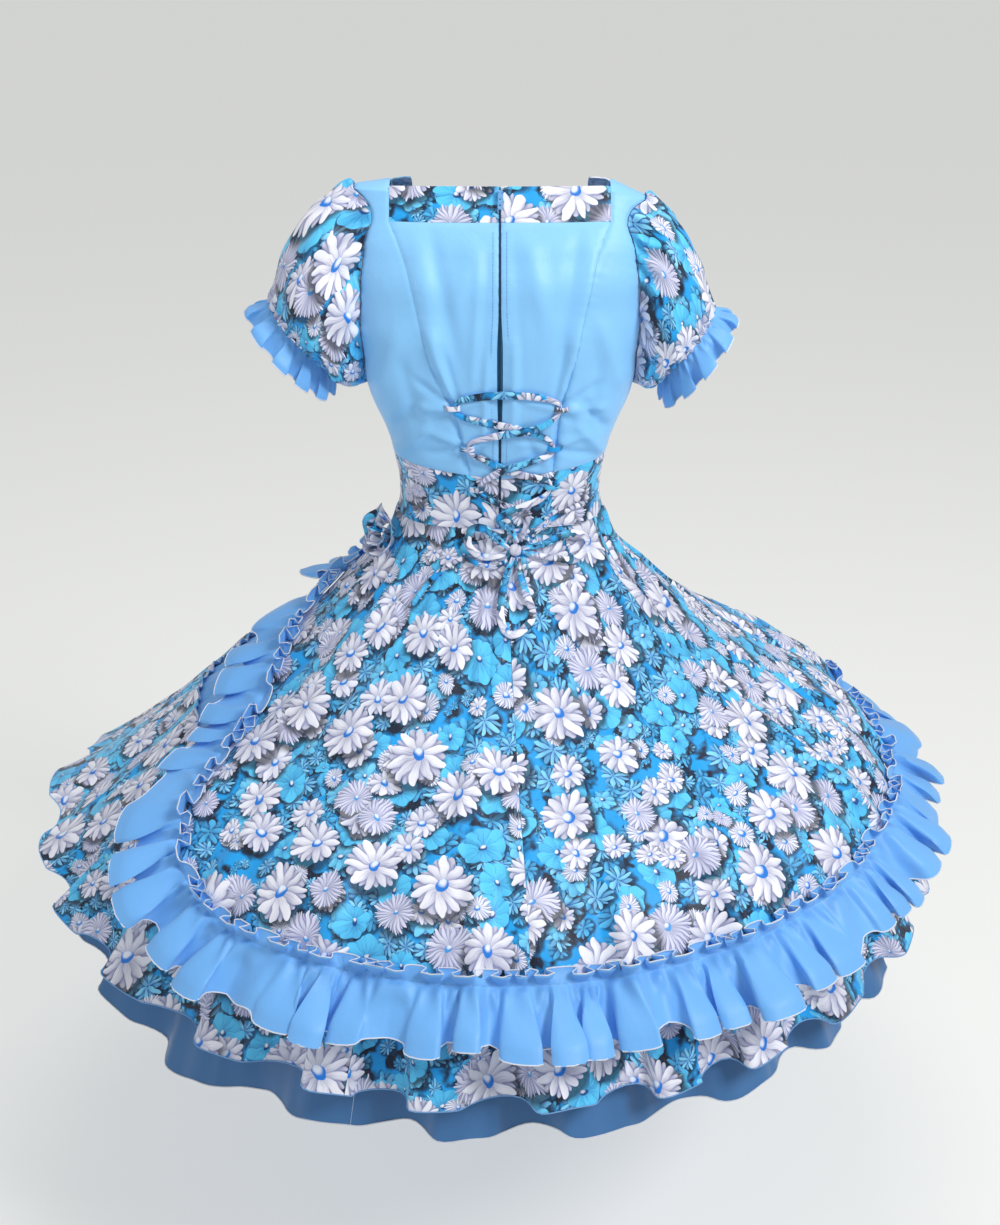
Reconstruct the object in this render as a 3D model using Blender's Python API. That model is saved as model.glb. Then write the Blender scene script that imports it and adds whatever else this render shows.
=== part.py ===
"""A cueca dress worn by nobody: a fitted blue bodice with puff sleeves, a flowered overskirt open at the left hip
and edged with a ruffle, and a blue underskirt that carries two flounces.

Metres, +Z up. The origin is between the shoulders, where the wearer holds the dress up. The back faces -Y, and left
means -X. Every cloth piece is a grid of points worked out from the tables below, with rows running down the piece
and columns running from left to right as seen from outside; its wall goes inwards from that grid."""

from collections import namedtuple
from math import cos, pi, radians, sin

import bmesh
import bpy
import numpy as np

# Driving dimensions
CLOTH = 0.0014
SEAM_GAP = 0.0003
LAYER_GAP = 0.0005
STRAP_INNER_X = 0.1330
NECK_BAND_BOTTOM = -0.032
NECK_BAND_TOP = 0.006
FRONT_NECK_TOP = -0.088
FRONT_NECK_BOTTOM = -0.115
NECK_TRIM_WIDTH = 0.025
SHOULDER_RISE = 0.009
RIGHT_SHOULDER_DROP = 0.014
WAIST_BAND_SIDE = -0.327
WAIST_BAND_POINT = -0.344
WAIST_SEAM = -0.410
ARMHOLE_CENTRE = -0.120
ARMHOLE_HALF_HEIGHT = 0.1235
ARMHOLE_HALF_DEPTH = 0.056
SLIT_ANGLE = -108.0
UNDERSKIRT_INSET = 0.012
UNDERSKIRT_END = 0.422
RUFFLE_FALL = 0.072
RUFFLE_HEADER = 0.018
RUFFLE_WAVES = 48
FLOUNCE_WAVES = 26
LOW_FLOUNCE_WAVES = 22
HIP_RAISE_ANGLE = -92.0
HIP_RAISE_WIDTH = 34.0
LOW_SAG = 0.036
LOW_SAG_ANGLE = -46.0
LOW_SAG_WIDTH = 19.0
LACE_THICKNESS = 0.0028
LACE_END_RADIUS = 0.0035
ROSETTE_ANGLE = -77.0
ROSETTE_STANDOFF = 0.0051
ROSETTE_DROP = 0.038
SLIDER_HEIGHT = -0.004
SLIDER_LEAN = 31.0
HINGE_Z = 0.0030
HINGE_STANDOFF = 0.0046

Section = namedtuple("Section", "height half_width back_depth front_depth")
TORSO = (
    Section(-0.415, 0.1355, 0.094, 0.098),
    Section(-0.388, 0.1310, 0.090, 0.095),
    Section(-0.335, 0.1370, 0.094, 0.105),
    Section(-0.290, 0.1500, 0.099, 0.116),
    Section(-0.243, 0.1680, 0.103, 0.125),
    Section(-0.200, 0.1760, 0.104, 0.124),
    Section(-0.130, 0.1860, 0.098, 0.104),
    Section(-0.070, 0.1870, 0.080, 0.076),
    Section(-0.030, 0.1840, 0.054, 0.052),
    Section(0.000, 0.1820, 0.036, 0.036),
    Section(0.010, 0.1820, 0.030, 0.030),
)
SeamPoint = namedtuple("SeamPoint", "height offset")
BACK_SEAM = {
    "left": (
        SeamPoint(-0.420, 0.022),
        SeamPoint(-0.393, 0.027),
        SeamPoint(-0.340, 0.038),
        SeamPoint(-0.300, 0.046),
        SeamPoint(-0.256, 0.058),
        SeamPoint(-0.212, 0.079),
        SeamPoint(-0.155, 0.095),
        SeamPoint(-0.105, 0.106),
        SeamPoint(-0.060, 0.120),
        SeamPoint(-0.032, 0.133),
    ),
    "right": (
        SeamPoint(-0.420, 0.060),
        SeamPoint(-0.362, 0.065),
        SeamPoint(-0.300, 0.071),
        SeamPoint(-0.252, 0.076),
        SeamPoint(-0.212, 0.086),
        SeamPoint(-0.155, 0.098),
        SeamPoint(-0.105, 0.109),
        SeamPoint(-0.060, 0.121),
        SeamPoint(-0.032, 0.133),
    ),
}
FRONT_SEAM = (
    SeamPoint(-0.420, 0.052),
    SeamPoint(-0.340, 0.062),
    SeamPoint(-0.270, 0.078),
    SeamPoint(-0.200, 0.096),
    SeamPoint(-0.150, 0.118),
    SeamPoint(-0.115, 0.133),
)
ZIP_OPENING = (
    SeamPoint(-0.370, 0.0009),
    SeamPoint(-0.300, 0.0012),
    SeamPoint(-0.245, 0.0030),
    SeamPoint(-0.180, 0.0034),
    SeamPoint(-0.120, 0.0011),
    SeamPoint(-0.030, 0.0009),
)
SleeveRing = namedtuple("SleeveRing", "top_x top_z bottom_x bottom_z half_depth")
LEFT_SLEEVE = (
    SleeveRing(0.1835, 0.0035, 0.1695, -0.2435, 0.056),
    SleeveRing(0.2090, -0.0110, 0.1850, -0.2480, 0.086),
    SleeveRing(0.2480, -0.0500, 0.1950, -0.2440, 0.094),
    SleeveRing(0.2760, -0.1030, 0.2030, -0.2330, 0.085),
    SleeveRing(0.2870, -0.1380, 0.2110, -0.2180, 0.064),
)
RIGHT_SLEEVE = (
    SleeveRing(0.1835, 0.0035, 0.1695, -0.2435, 0.056),
    SleeveRing(0.2060, -0.0170, 0.1820, -0.2500, 0.084),
    SleeveRing(0.2350, -0.0600, 0.1890, -0.2480, 0.090),
    SleeveRing(0.2550, -0.1080, 0.1950, -0.2400, 0.082),
    SleeveRing(0.2660, -0.1480, 0.2010, -0.2270, 0.063),
)
SkirtPoint = namedtuple("SkirtPoint", "radius height")
SKIRT = (
    SkirtPoint(0.1355, -0.4103),
    SkirtPoint(0.1520, -0.4520),
    SkirtPoint(0.2050, -0.5150),
    SkirtPoint(0.2900, -0.5920),
    SkirtPoint(0.4000, -0.6720),
    SkirtPoint(0.4850, -0.7300),
    SkirtPoint(0.5330, -0.7870),
)
EdgePoint = namedtuple("EdgePoint", "turn length")
OVERSKIRT_EDGE = (
    EdgePoint(0.0, 0.060),
    EdgePoint(7.0, 0.115),
    EdgePoint(14.0, 0.195),
    EdgePoint(32.0, 0.245),
    EdgePoint(43.0, 0.308),
    EdgePoint(48.0, 0.380),
    EdgePoint(52.0, 0.439),
    EdgePoint(57.0, 0.496),
    EdgePoint(64.0, 0.533),
    EdgePoint(76.0, 0.553),
    EdgePoint(180.0, 0.553),
)
Fold = namedtuple("Fold", "angle half_width height start")
OVERSKIRT_FOLDS = (
    Fold(-78.0, 6.0, 0.008, 0.30),
    Fold(-52.0, 8.0, 0.010, 0.35),
    Fold(-31.0, 7.0, 0.013, 0.30),
    Fold(-11.0, 6.0, 0.012, 0.40),
    Fold(4.5, 6.5, 0.016, 0.30),
    Fold(21.0, 5.0, 0.010, 0.45),
    Fold(35.0, 6.5, 0.014, 0.25),
    Fold(53.0, 7.5, 0.012, 0.30),
    Fold(75.0, 8.0, 0.015, 0.25),
    Fold(99.0, 8.5, 0.012, 0.35),
    Fold(122.0, 7.5, 0.016, 0.25),
    Fold(145.0, 8.0, 0.012, 0.35),
    Fold(169.0, 8.5, 0.015, 0.30),
    Fold(192.0, 7.0, 0.011, 0.40),
    Fold(214.0, 8.0, 0.014, 0.30),
    Fold(238.0, 6.5, 0.009, 0.35),
)
FlouncePoint = namedtuple("FlouncePoint", "share out down")
FLOUNCE = (
    FlouncePoint(0.00, 0.000, 0.000),
    FlouncePoint(0.33, 0.057, 0.060),
    FlouncePoint(0.66, 0.115, 0.130),
    FlouncePoint(1.00, 0.160, 0.200),
)
LOW_FLOUNCE = (
    FlouncePoint(0.00, 0.000, 0.000),
    FlouncePoint(0.33, 0.047, 0.085),
    FlouncePoint(0.66, 0.098, 0.168),
    FlouncePoint(1.00, 0.143, 0.262),
)
LoopPlace = namedtuple("LoopPlace", "x height")
LACE_LOOPS = {
    "left_top": LoopPlace(-0.0580, -0.247),
    "right_top": LoopPlace(0.0755, -0.249),
    "left_middle": LoopPlace(-0.0410, -0.300),
    "right_middle": LoopPlace(0.0680, -0.301),
    "left_bottom": LoopPlace(-0.0285, -0.356),
    "right_bottom": LoopPlace(0.0655, -0.354),
}
# Points of the lace on the back: x and height of the cloth under it, its lift off that cloth and its width there
LacePoint = namedtuple("LacePoint", "x height lift width")
LACE = (
    LacePoint(0.0215, -0.4265, 0.0030, 0.005),
    LacePoint(0.0150, -0.4140, 0.0034, 0.007),
    LacePoint(-0.0010, -0.3990, 0.0030, 0.009),
    LacePoint(0.0100, -0.3865, 0.0060, 0.009),
    LacePoint(0.0300, -0.3785, 0.0066, 0.010),
    LacePoint(0.0490, -0.3710, 0.0040, 0.009),
    LacePoint(0.0590, -0.3630, 0.0030, 0.006),
    LacePoint(0.0635, -0.3540, 0.0030, 0.004),
    LacePoint(0.0590, -0.3450, 0.0032, 0.006),
    LacePoint(0.0430, -0.3400, 0.0030, 0.009),
    LacePoint(0.0240, -0.3360, 0.0024, 0.010),
    LacePoint(0.0020, -0.3270, 0.0024, 0.010),
    LacePoint(-0.0200, -0.3150, 0.0028, 0.009),
    LacePoint(-0.0340, -0.3090, 0.0030, 0.006),
    LacePoint(-0.0390, -0.3000, 0.0030, 0.004),
    LacePoint(-0.0340, -0.2910, 0.0034, 0.006),
    LacePoint(-0.0010, -0.2810, 0.0060, 0.010),
    LacePoint(0.0300, -0.2755, 0.0072, 0.010),
    LacePoint(0.0540, -0.2680, 0.0060, 0.009),
    LacePoint(0.0690, -0.2580, 0.0034, 0.006),
    LacePoint(0.0735, -0.2490, 0.0030, 0.004),
    LacePoint(0.0690, -0.2400, 0.0036, 0.006),
    LacePoint(0.0480, -0.2325, 0.0050, 0.009),
    LacePoint(0.0150, -0.2290, 0.0060, 0.010),
    LacePoint(-0.0150, -0.2300, 0.0056, 0.010),
    LacePoint(-0.0370, -0.2340, 0.0044, 0.009),
    LacePoint(-0.0510, -0.2380, 0.0032, 0.006),
    LacePoint(-0.0560, -0.2470, 0.0030, 0.004),
    LacePoint(-0.0510, -0.2560, 0.0032, 0.006),
    LacePoint(-0.0250, -0.2640, 0.0028, 0.010),
    LacePoint(0.0040, -0.2700, 0.0024, 0.010),
    LacePoint(0.0330, -0.2770, 0.0022, 0.010),
    LacePoint(0.0520, -0.2850, 0.0028, 0.009),
    LacePoint(0.0615, -0.2920, 0.0030, 0.006),
    LacePoint(0.0660, -0.3010, 0.0030, 0.004),
    LacePoint(0.0615, -0.3100, 0.0032, 0.006),
    LacePoint(0.0460, -0.3150, 0.0044, 0.009),
    LacePoint(0.0240, -0.3220, 0.0062, 0.010),
    LacePoint(0.0010, -0.3300, 0.0066, 0.010),
    LacePoint(-0.0140, -0.3400, 0.0044, 0.009),
    LacePoint(-0.0220, -0.3470, 0.0030, 0.006),
    LacePoint(-0.0265, -0.3560, 0.0030, 0.004),
    LacePoint(-0.0220, -0.3650, 0.0030, 0.006),
    LacePoint(-0.0060, -0.3740, 0.0026, 0.009),
    LacePoint(0.0160, -0.3825, 0.0024, 0.009),
    LacePoint(0.0330, -0.3930, 0.0026, 0.009),
    LacePoint(0.0330, -0.4050, 0.0028, 0.008),
    LacePoint(0.0270, -0.4170, 0.0090, 0.006),
)
BOW_KNOT = LacePoint(0.0185, -0.4355, 0.0069, 0.016)
BOW_LOOPS = {
    "bow_loop_left": (
        LacePoint(0.0106, -0.4335, 0.0078, 0.005),
        LacePoint(-0.0050, -0.4200, 0.0110, 0.009),
        LacePoint(-0.0200, -0.4080, 0.0130, 0.010),
        LacePoint(-0.0330, -0.4130, 0.0120, 0.010),
        LacePoint(-0.0370, -0.4300, 0.0100, 0.010),
        LacePoint(-0.0230, -0.4440, 0.0090, 0.009),
        LacePoint(-0.0050, -0.4440, 0.0090, 0.008),
        LacePoint(0.0106, -0.4385, 0.0078, 0.005),
    ),
    "bow_loop_right": (
        LacePoint(0.0264, -0.4340, 0.0078, 0.005),
        LacePoint(0.0510, -0.4300, 0.0120, 0.009),
        LacePoint(0.0760, -0.4220, 0.0140, 0.010),
        LacePoint(0.0980, -0.4280, 0.0120, 0.010),
        LacePoint(0.1050, -0.4430, 0.0100, 0.010),
        LacePoint(0.0900, -0.4550, 0.0090, 0.010),
        LacePoint(0.0640, -0.4500, 0.0090, 0.009),
        LacePoint(0.0264, -0.4385, 0.0078, 0.005),
    ),
    "bow_loop_hanging": (
        LacePoint(0.0155, -0.4455, 0.0090, 0.005),
        LacePoint(0.0080, -0.4640, 0.0080, 0.009),
        LacePoint(0.0020, -0.4860, 0.0070, 0.010),
        LacePoint(0.0010, -0.5060, 0.0065, 0.010),
        LacePoint(0.0100, -0.5190, 0.0065, 0.010),
        LacePoint(0.0270, -0.5170, 0.0065, 0.010),
        LacePoint(0.0400, -0.5030, 0.0065, 0.010),
        LacePoint(0.0320, -0.4840, 0.0075, 0.010),
        LacePoint(0.0250, -0.4640, 0.0085, 0.008),
        LacePoint(0.0220, -0.4455, 0.0090, 0.005),
    ),
}
LACE_ENDS = {
    "lace_end_left": (
        LacePoint(0.0085, -0.4480, 0.0060, 0.007),
        LacePoint(-0.0080, -0.4560, 0.0058, 0.007),
        LacePoint(-0.0270, -0.4530, 0.0056, 0.007),
        LacePoint(-0.0440, -0.4480, 0.0056, 0.007),
        LacePoint(-0.0640, -0.4580, 0.0060, 0.007),
        LacePoint(-0.0870, -0.4760, 0.0064, 0.007),
        LacePoint(-0.1090, -0.5020, 0.0060, 0.007),
    ),
    "lace_end_right": (
        LacePoint(0.0300, -0.4240, 0.0140, 0.007),
        LacePoint(0.0450, -0.4120, 0.0125, 0.007),
        LacePoint(0.0640, -0.3980, 0.0080, 0.007),
        LacePoint(0.0840, -0.3880, 0.0050, 0.007),
        LacePoint(0.1040, -0.3830, 0.0043, 0.007),
    ),
}

# The colours of the cloths and of the zip
FLOWERED = ("flowered_satin", (0.36, 0.62, 0.84), 0.55, 0.0)
SKY = ("sky_satin", (0.24, 0.52, 0.90), 0.45, 0.0)
DEEP_SKY = ("sky_lining_satin", (0.16, 0.38, 0.68), 0.50, 0.0)
TAPE = ("zip_tape_weave", (0.05, 0.22, 0.42), 0.70, 0.0)
ENAMEL = ("zip_enamel", (0.42, 0.66, 0.90), 0.35, 0.0)


def clear_scene():
    """Removes whatever the scene holds."""
    for thing in list(bpy.data.objects):
        bpy.data.objects.remove(thing, do_unlink=True)


def finish_of(finish):
    """The material of a finish, made once and used by each piece of it."""
    name, colour, roughness, metallic = finish
    material = bpy.data.materials.get(name)
    if material is None:
        material = bpy.data.materials.new(name)
        material.use_nodes = True
        shader = material.node_tree.nodes["Principled BSDF"]
        shader.inputs["Base Color"].default_value = (*colour, 1.0)
        shader.inputs["Roughness"].default_value = roughness
        shader.inputs["Metallic"].default_value = metallic
    return material


def add_piece(name, points, faces, finish):
    """Adds one smooth-shaded object from points and faces."""
    mesh = bpy.data.meshes.new(name)
    mesh.from_pydata(np.asarray(points).tolist(), [], [[int(i) for i in face] for face in faces])
    mesh.materials.append(finish_of(finish))
    mesh.shade_smooth()
    mesh.set_sharp_from_angle(angle=radians(40))
    piece = bpy.data.objects.new(name, mesh)
    bpy.context.collection.objects.link(piece)
    return piece


def smooth(at, known, values):
    """A cubic through a table's points that never overshoots: its slope at a point is the harmonic mean of the two
    slopes beside it, or 0 where they differ in sign."""
    known = np.asarray(known, float)
    values = np.asarray(values, float)
    step = np.diff(known)
    slope = np.diff(values) / step
    total = slope[:-1] + slope[1:]
    product = slope[:-1] * slope[1:]
    rising = product > 0
    inner = np.where(rising, 2 * product / np.where(rising, total, 1.0), 0.0)
    tangent = np.concatenate([slope[:1], inner, slope[-1:]])
    at = np.clip(np.asarray(at, float), known[0], known[-1])
    cell = np.clip(np.searchsorted(known, at, side="right") - 1, 0, len(known) - 2)
    share = (at - known[cell]) / step[cell]
    start = values[cell] + share * step[cell] * tangent[cell]
    end = values[cell + 1] - (1 - share) * step[cell] * tangent[cell + 1]
    blend = share * share * (3 - 2 * share)
    return start * (1 - blend) + end * blend


def column(table, name):
    """One named column of a table."""
    return [getattr(row, name) for row in table]


def ramp(value):
    """0 below 0 and 1 above 1, with a soft start and end."""
    value = np.clip(value, 0.0, 1.0)
    return value * value * (3 - 2 * value)


def unit(vectors):
    """The same vectors at a length of 1."""
    return vectors / np.linalg.norm(vectors, axis=-1, keepdims=True)


def facing(grid, around=False):
    """The outward direction at each point: the way down its column crossed with the way along its row."""
    down = np.gradient(grid, axis=0)
    along = np.gradient(grid, axis=1)
    if around:
        along = (np.roll(grid, -1, axis=1) - np.roll(grid, 1, axis=1)) / 2
    return unit(np.cross(down, along))


def trimmed(grid, top=True, bottom=True, sides=True):
    """The grid with its named edges drawn in by half a seam gap."""
    grid = grid.copy()
    half = SEAM_GAP / 2
    if sides:
        grid[:, 0] += unit(grid[:, 1] - grid[:, 0]) * half
        grid[:, -1] += unit(grid[:, -2] - grid[:, -1]) * half
    if top:
        grid[0] += unit(grid[1] - grid[0]) * half
    if bottom:
        grid[-1] += unit(grid[-2] - grid[-1]) * half
    return grid


def add_cloth(name, grid, finish, around=False, normals=None, thickness=CLOTH):
    """Adds a wall of cloth: the grid, the same grid moved in by its thickness, and a rim along each free edge.
    Both faces split their cells along the same diagonal, so the wall never crosses itself."""
    if normals is None:
        normals = facing(grid, around)
    points = np.concatenate([grid.reshape(-1, 3), (grid - normals * thickness).reshape(-1, 3)])
    rows, columns = grid.shape[:2]
    number = np.arange(rows * columns).reshape(rows, columns)
    if around:
        number = np.concatenate([number, number[:, :1]], axis=1)
    inside = rows * columns
    a, b = number[:-1, :-1].ravel(), number[:-1, 1:].ravel()
    d, c = number[1:, :-1].ravel(), number[1:, 1:].ravel()
    faces = [
        np.stack([a, d, c], -1),
        np.stack([a, c, b], -1),
        np.stack([a, c, d], -1) + inside,
        np.stack([a, b, c], -1) + inside,
    ]
    rims = [(number[0, :-1], number[0, 1:]), (number[-1, 1:], number[-1, :-1])]
    if not around:
        rims += [(number[1:, 0], number[:-1, 0]), (number[:-1, -1], number[1:, -1])]
    for start, end in rims:
        faces.append(np.stack([start, end, end + inside], -1))
        faces.append(np.stack([start, end + inside, start + inside], -1))
    return add_piece(name, points, np.concatenate(faces), finish)


def drop_right_shoulder(points):
    """Lowers the right shoulder a little, fading out towards the neck and down the bodice."""
    points = points.copy()
    across = ramp((points[..., 0] - 0.125) / 0.06)
    up = ramp((points[..., 2] + 0.16) / 0.14)
    points[..., 2] -= RIGHT_SHOULDER_DROP * across * up
    return points


def rounded_sine(angle):
    """A sine whose circle is a little squarer."""
    return 1.05 * np.sin(angle) + 0.05 * np.sin(3 * angle)


def rounded_cosine(angle):
    """A cosine whose circle is a little squarer."""
    return 1.05 * np.cos(angle) - 0.05 * np.cos(3 * angle)


def torso_size(height):
    """The torso's half width, back depth and front depth at a height."""
    heights = column(TORSO, "height")
    return [smooth(height, heights, column(TORSO, name)) for name in Section._fields[1:]]


def torso(angle, height):
    """A point of the torso: angle 0 is the middle of the back and pi/2 the right side."""
    width, back, front = torso_size(height)
    depth = np.where(np.cos(angle) > 0, back, front)
    return np.stack([width * rounded_sine(angle), -depth * rounded_cosine(angle), height + 0 * angle], -1)


def torso_out(angle, height):
    """The outward direction of the torso at a point."""
    across = torso(angle + 0.002, height) - torso(angle - 0.002, height)
    down = torso(angle, height - 0.0005) - torso(angle, height + 0.0005)
    return unit(np.cross(down, across))


def angle_at_x(x, height, front=False):
    """The torso's angle where it passes a given x, on its back or its front."""
    quarter = np.linspace(0, pi / 2, 181)
    share = np.clip(np.abs(x) / torso_size(height)[0], 0, 1)
    found = np.interp(share, rounded_sine(quarter), quarter)
    return np.sign(x) * (pi - found if front else found)


def angle_at_armhole(height, front=False):
    """The torso's angle at the armhole's edge, on its back or its front; the armhole is an ellipse seen sideways."""
    width, back, front_depth = torso_size(height)
    share = np.clip(1 - ((height - ARMHOLE_CENTRE) / ARMHOLE_HALF_HEIGHT) ** 2, 0, 1)
    reach = ARMHOLE_HALF_DEPTH * np.sqrt(share)
    quarter = np.linspace(pi / 2, 0, 181)
    found = np.interp(reach / (front_depth if front else back), rounded_cosine(quarter), quarter)
    return pi - found if front else found


def torso_grid(left, right, levels, counts, columns):
    """A grid on the torso between two edges, each an angle as a function of height. The levels are heights as
    functions of x, from top to bottom, with the given count of rows between each two. Gives the outward directions
    too."""
    share = np.linspace(0, 1, columns + 1)[None, :]
    rows = np.concatenate([np.arange(count) / count + i for i, count in enumerate(counts)] + [[len(counts)]])
    cell = np.minimum(rows.astype(int), len(counts) - 1)[:, None]
    within = rows[:, None] - cell
    x = np.zeros((len(rows), columns + 1))
    for _ in range(5):
        heights = np.stack([level(x) for level in levels])
        above = np.take_along_axis(heights, np.broadcast_to(cell, x.shape)[None], axis=0)[0]
        below = np.take_along_axis(heights, np.broadcast_to(cell + 1, x.shape)[None], axis=0)[0]
        height = above + (below - above) * within
        angle = left(height) * (1 - share) + right(height) * share
        x = torso(angle, height)[..., 0]
    return torso(angle, height), torso_out(angle, height)


def level(height):
    """A level seam at one height."""
    return lambda x: height + 0 * x


def waist_band_top(x):
    """The waist band's top edge at the back: straight from each side down to a point at the middle."""
    return WAIST_BAND_POINT + (WAIST_BAND_SIDE - WAIST_BAND_POINT) * np.abs(x) / 0.137


def seam_angle(table, side, front=False):
    """An edge that follows a seam's table on one side."""
    heights, offsets = column(table, "height"), column(table, "offset")
    return lambda height: angle_at_x(side * smooth(height, heights, offsets), height, front)


def over_shoulder(grid, normals, sign, rows=2):
    """A strap's grid with rows added at its top that close over the shoulder, up to the seam along its ridge."""
    edge = grid[0]
    x = np.abs(edge[:, 0])
    rise = SHOULDER_RISE * (1 - ramp((x - 0.10) / 0.09))
    added = []
    for k in range(rows, 0, -1):
        share = k / rows
        row = edge.copy()
        row[:, 1] = edge[:, 1] * (1 - share) + sign * SEAM_GAP / 2 * share
        row[:, 2] = edge[:, 2] + (rise + 0.0035) * (1 - (1 - share) ** 2)
        added.append(row)
    grid = np.concatenate([np.array(added), grid])
    over = facing(grid)[:rows]
    over[0, :, 1] = 0.0
    return grid, np.concatenate([unit(over), normals])


def build_back():
    """The four back panels; the outer two run up into the shoulder straps."""
    for side, word in ((-1, "left"), (1, "right")):
        zip_edge = seam_angle(ZIP_OPENING, side)
        seam = seam_angle(BACK_SEAM[word], side)
        edges = (seam, zip_edge) if side < 0 else (zip_edge, seam)
        grid, out = torso_grid(*edges, (level(NECK_BAND_BOTTOM), waist_band_top), (9,), 4)
        add_cloth("back_centre_" + word, drop_right_shoulder(trimmed(grid)), SKY, normals=out)

        def armhole(height, side=side):
            return side * np.where(height > ARMHOLE_CENTRE - ARMHOLE_HALF_HEIGHT, angle_at_armhole(height), pi / 2)

        edges = (armhole, seam) if side < 0 else (seam, armhole)
        levels = (level(0.0), level(NECK_BAND_BOTTOM), waist_band_top)
        grid, out = over_shoulder(*torso_grid(*edges, levels, (2, 9), 5), -1)
        add_cloth("back_side_" + word, drop_right_shoulder(trimmed(grid, top=False)), SKY, normals=out)


def build_front():
    """The three front panels; the outer two run up to meet the back straps at the shoulder seams."""
    left, right = seam_angle(FRONT_SEAM, -1, True), seam_angle(FRONT_SEAM, 1, True)
    levels = (level(FRONT_NECK_BOTTOM), level(WAIST_BAND_SIDE))
    grid, out = torso_grid(right, lambda height: left(height) + 2 * pi, levels, (6,), 7)
    add_cloth("front_centre", drop_right_shoulder(trimmed(grid)), SKY, normals=out)
    for side, word in ((-1, "left"), (1, "right")):
        seam = seam_angle(FRONT_SEAM, side, True)

        def armhole(height, side=side):
            edge = angle_at_armhole(height, True)
            return side * np.where(height > ARMHOLE_CENTRE - ARMHOLE_HALF_HEIGHT, edge, pi / 2)

        edges = (seam, armhole) if side < 0 else (armhole, seam)
        levels = (level(0.0), level(FRONT_NECK_BOTTOM), level(WAIST_BAND_SIDE))
        grid, out = over_shoulder(*torso_grid(*edges, levels, (4, 6), 5), 1)
        add_cloth("front_side_" + word, drop_right_shoulder(trimmed(grid, top=False)), SKY, normals=out)


def build_neck():
    """The flowered band across the back between the straps, and the same band round the square front neckline."""
    inner = STRAP_INNER_X
    for side, word in ((-1, "left"), (1, "right")):
        def outer_edge(height, side=side):
            return angle_at_x(side * inner + 0 * height, height)

        def zip_edge(height, side=side):
            return angle_at_x(side * ZIP_OPENING[-1].offset + 0 * height, height)

        edges = (outer_edge, zip_edge) if side < 0 else (zip_edge, outer_edge)
        grid, out = torso_grid(*edges, (level(NECK_BAND_TOP), level(NECK_BAND_BOTTOM)), (2,), 4)
        add_cloth("neck_band_" + word, drop_right_shoulder(trimmed(grid, top=False)), FLOWERED, normals=out)

        def trim_outer(height, side=side):
            return angle_at_x(side * inner + 0 * height, height, True)

        def trim_inner(height, side=side):
            return angle_at_x(side * (inner - NECK_TRIM_WIDTH) + 0 * height, height, True)

        edges = (trim_inner, trim_outer) if side < 0 else (trim_outer, trim_inner)
        grid, out = torso_grid(*edges, (level(0.0), level(FRONT_NECK_TOP)), (3,), 2)
        grid, out = over_shoulder(grid, out, -30, rows=3)
        add_cloth("neck_trim_" + word, drop_right_shoulder(trimmed(grid, top=False)), FLOWERED, normals=out)
    left = seam_angle((SeamPoint(-0.2, inner), SeamPoint(0.0, inner)), -1, True)
    right = seam_angle((SeamPoint(-0.2, inner), SeamPoint(0.0, inner)), 1, True)
    levels = (level(FRONT_NECK_TOP), level(FRONT_NECK_BOTTOM))
    grid, out = torso_grid(right, lambda height: left(height) + 2 * pi, levels, (2,), 7)
    add_cloth("neck_trim_front", drop_right_shoulder(trimmed(grid)), FLOWERED, normals=out)


def build_waist():
    """The flowered waist band, pointed at the back and parted there by the zip."""
    for side, word in ((-1, "left"), (1, "right")):
        def zip_edge(height, side=side):
            return angle_at_x(side * ZIP_OPENING[0].offset + 0 * height, height)

        def side_edge(height, side=side):
            return side * pi / 2 + 0 * height

        edges = (side_edge, zip_edge) if side < 0 else (zip_edge, side_edge)
        grid, out = torso_grid(*edges, (waist_band_top, level(WAIST_SEAM)), (3,), 7)
        add_cloth("waist_back_" + word, trimmed(grid), FLOWERED, normals=out)
    levels = (level(WAIST_BAND_SIDE), level(WAIST_SEAM))
    grid, out = torso_grid(lambda h: pi / 2 + 0 * h, lambda h: 3 * pi / 2 + 0 * h, levels, (3,), 14)
    add_cloth("waist_front", trimmed(grid), FLOWERED, normals=out)


def build_zip():
    """The zip's tape behind the back opening, its slider at the top and the pull tab that hangs from it."""
    half = 0.012

    def left_edge(height):
        return angle_at_x(-half + 0 * height, height)

    def right_edge(height):
        return angle_at_x(half + 0 * height, height)

    levels = (level(NECK_BAND_TOP), level(NECK_BAND_BOTTOM), waist_band_top, level(WAIST_SEAM))
    grid, out = torso_grid(left_edge, right_edge, levels, (2, 9, 3), 4)
    add_cloth("zip_tape", grid - out * (CLOTH + LAYER_GAP), TAPE, normals=out, thickness=0.0010)
    add_slider()
    add_pull()


def slab(points, depth_from, depth_to):
    """Points and faces of a flat plate: an outline in x and z, given anticlockwise seen from -Y, between two y."""
    outline = np.asarray(points, float)
    count = len(outline)
    front = np.column_stack([outline[:, 0], np.full(count, depth_from), outline[:, 1]])
    back = np.column_stack([outline[:, 0], np.full(count, depth_to), outline[:, 1]])
    order = list(range(count))
    sides = [[(i + 1) % count, i, i + count, (i + 1) % count + count] for i in order]
    return np.concatenate([front, back]), [order, [i + count for i in reversed(order)]] + sides


def x_bar(y, z, radius, x_from, x_to, sides=12):
    """Points and faces of a round bar along X."""
    ring = np.arange(sides) * 2 * pi / sides
    circle = np.column_stack([np.zeros(sides), y + radius * np.cos(ring), z + radius * np.sin(ring)])
    points = np.concatenate([circle + [x_from, 0, 0], circle + [x_to, 0, 0]])
    order = list(range(sides))
    walls = [[i, i + sides, (i + 1) % sides + sides, (i + 1) % sides] for i in order]
    return points, [order] + [[i + sides for i in reversed(order)]] + walls


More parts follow.
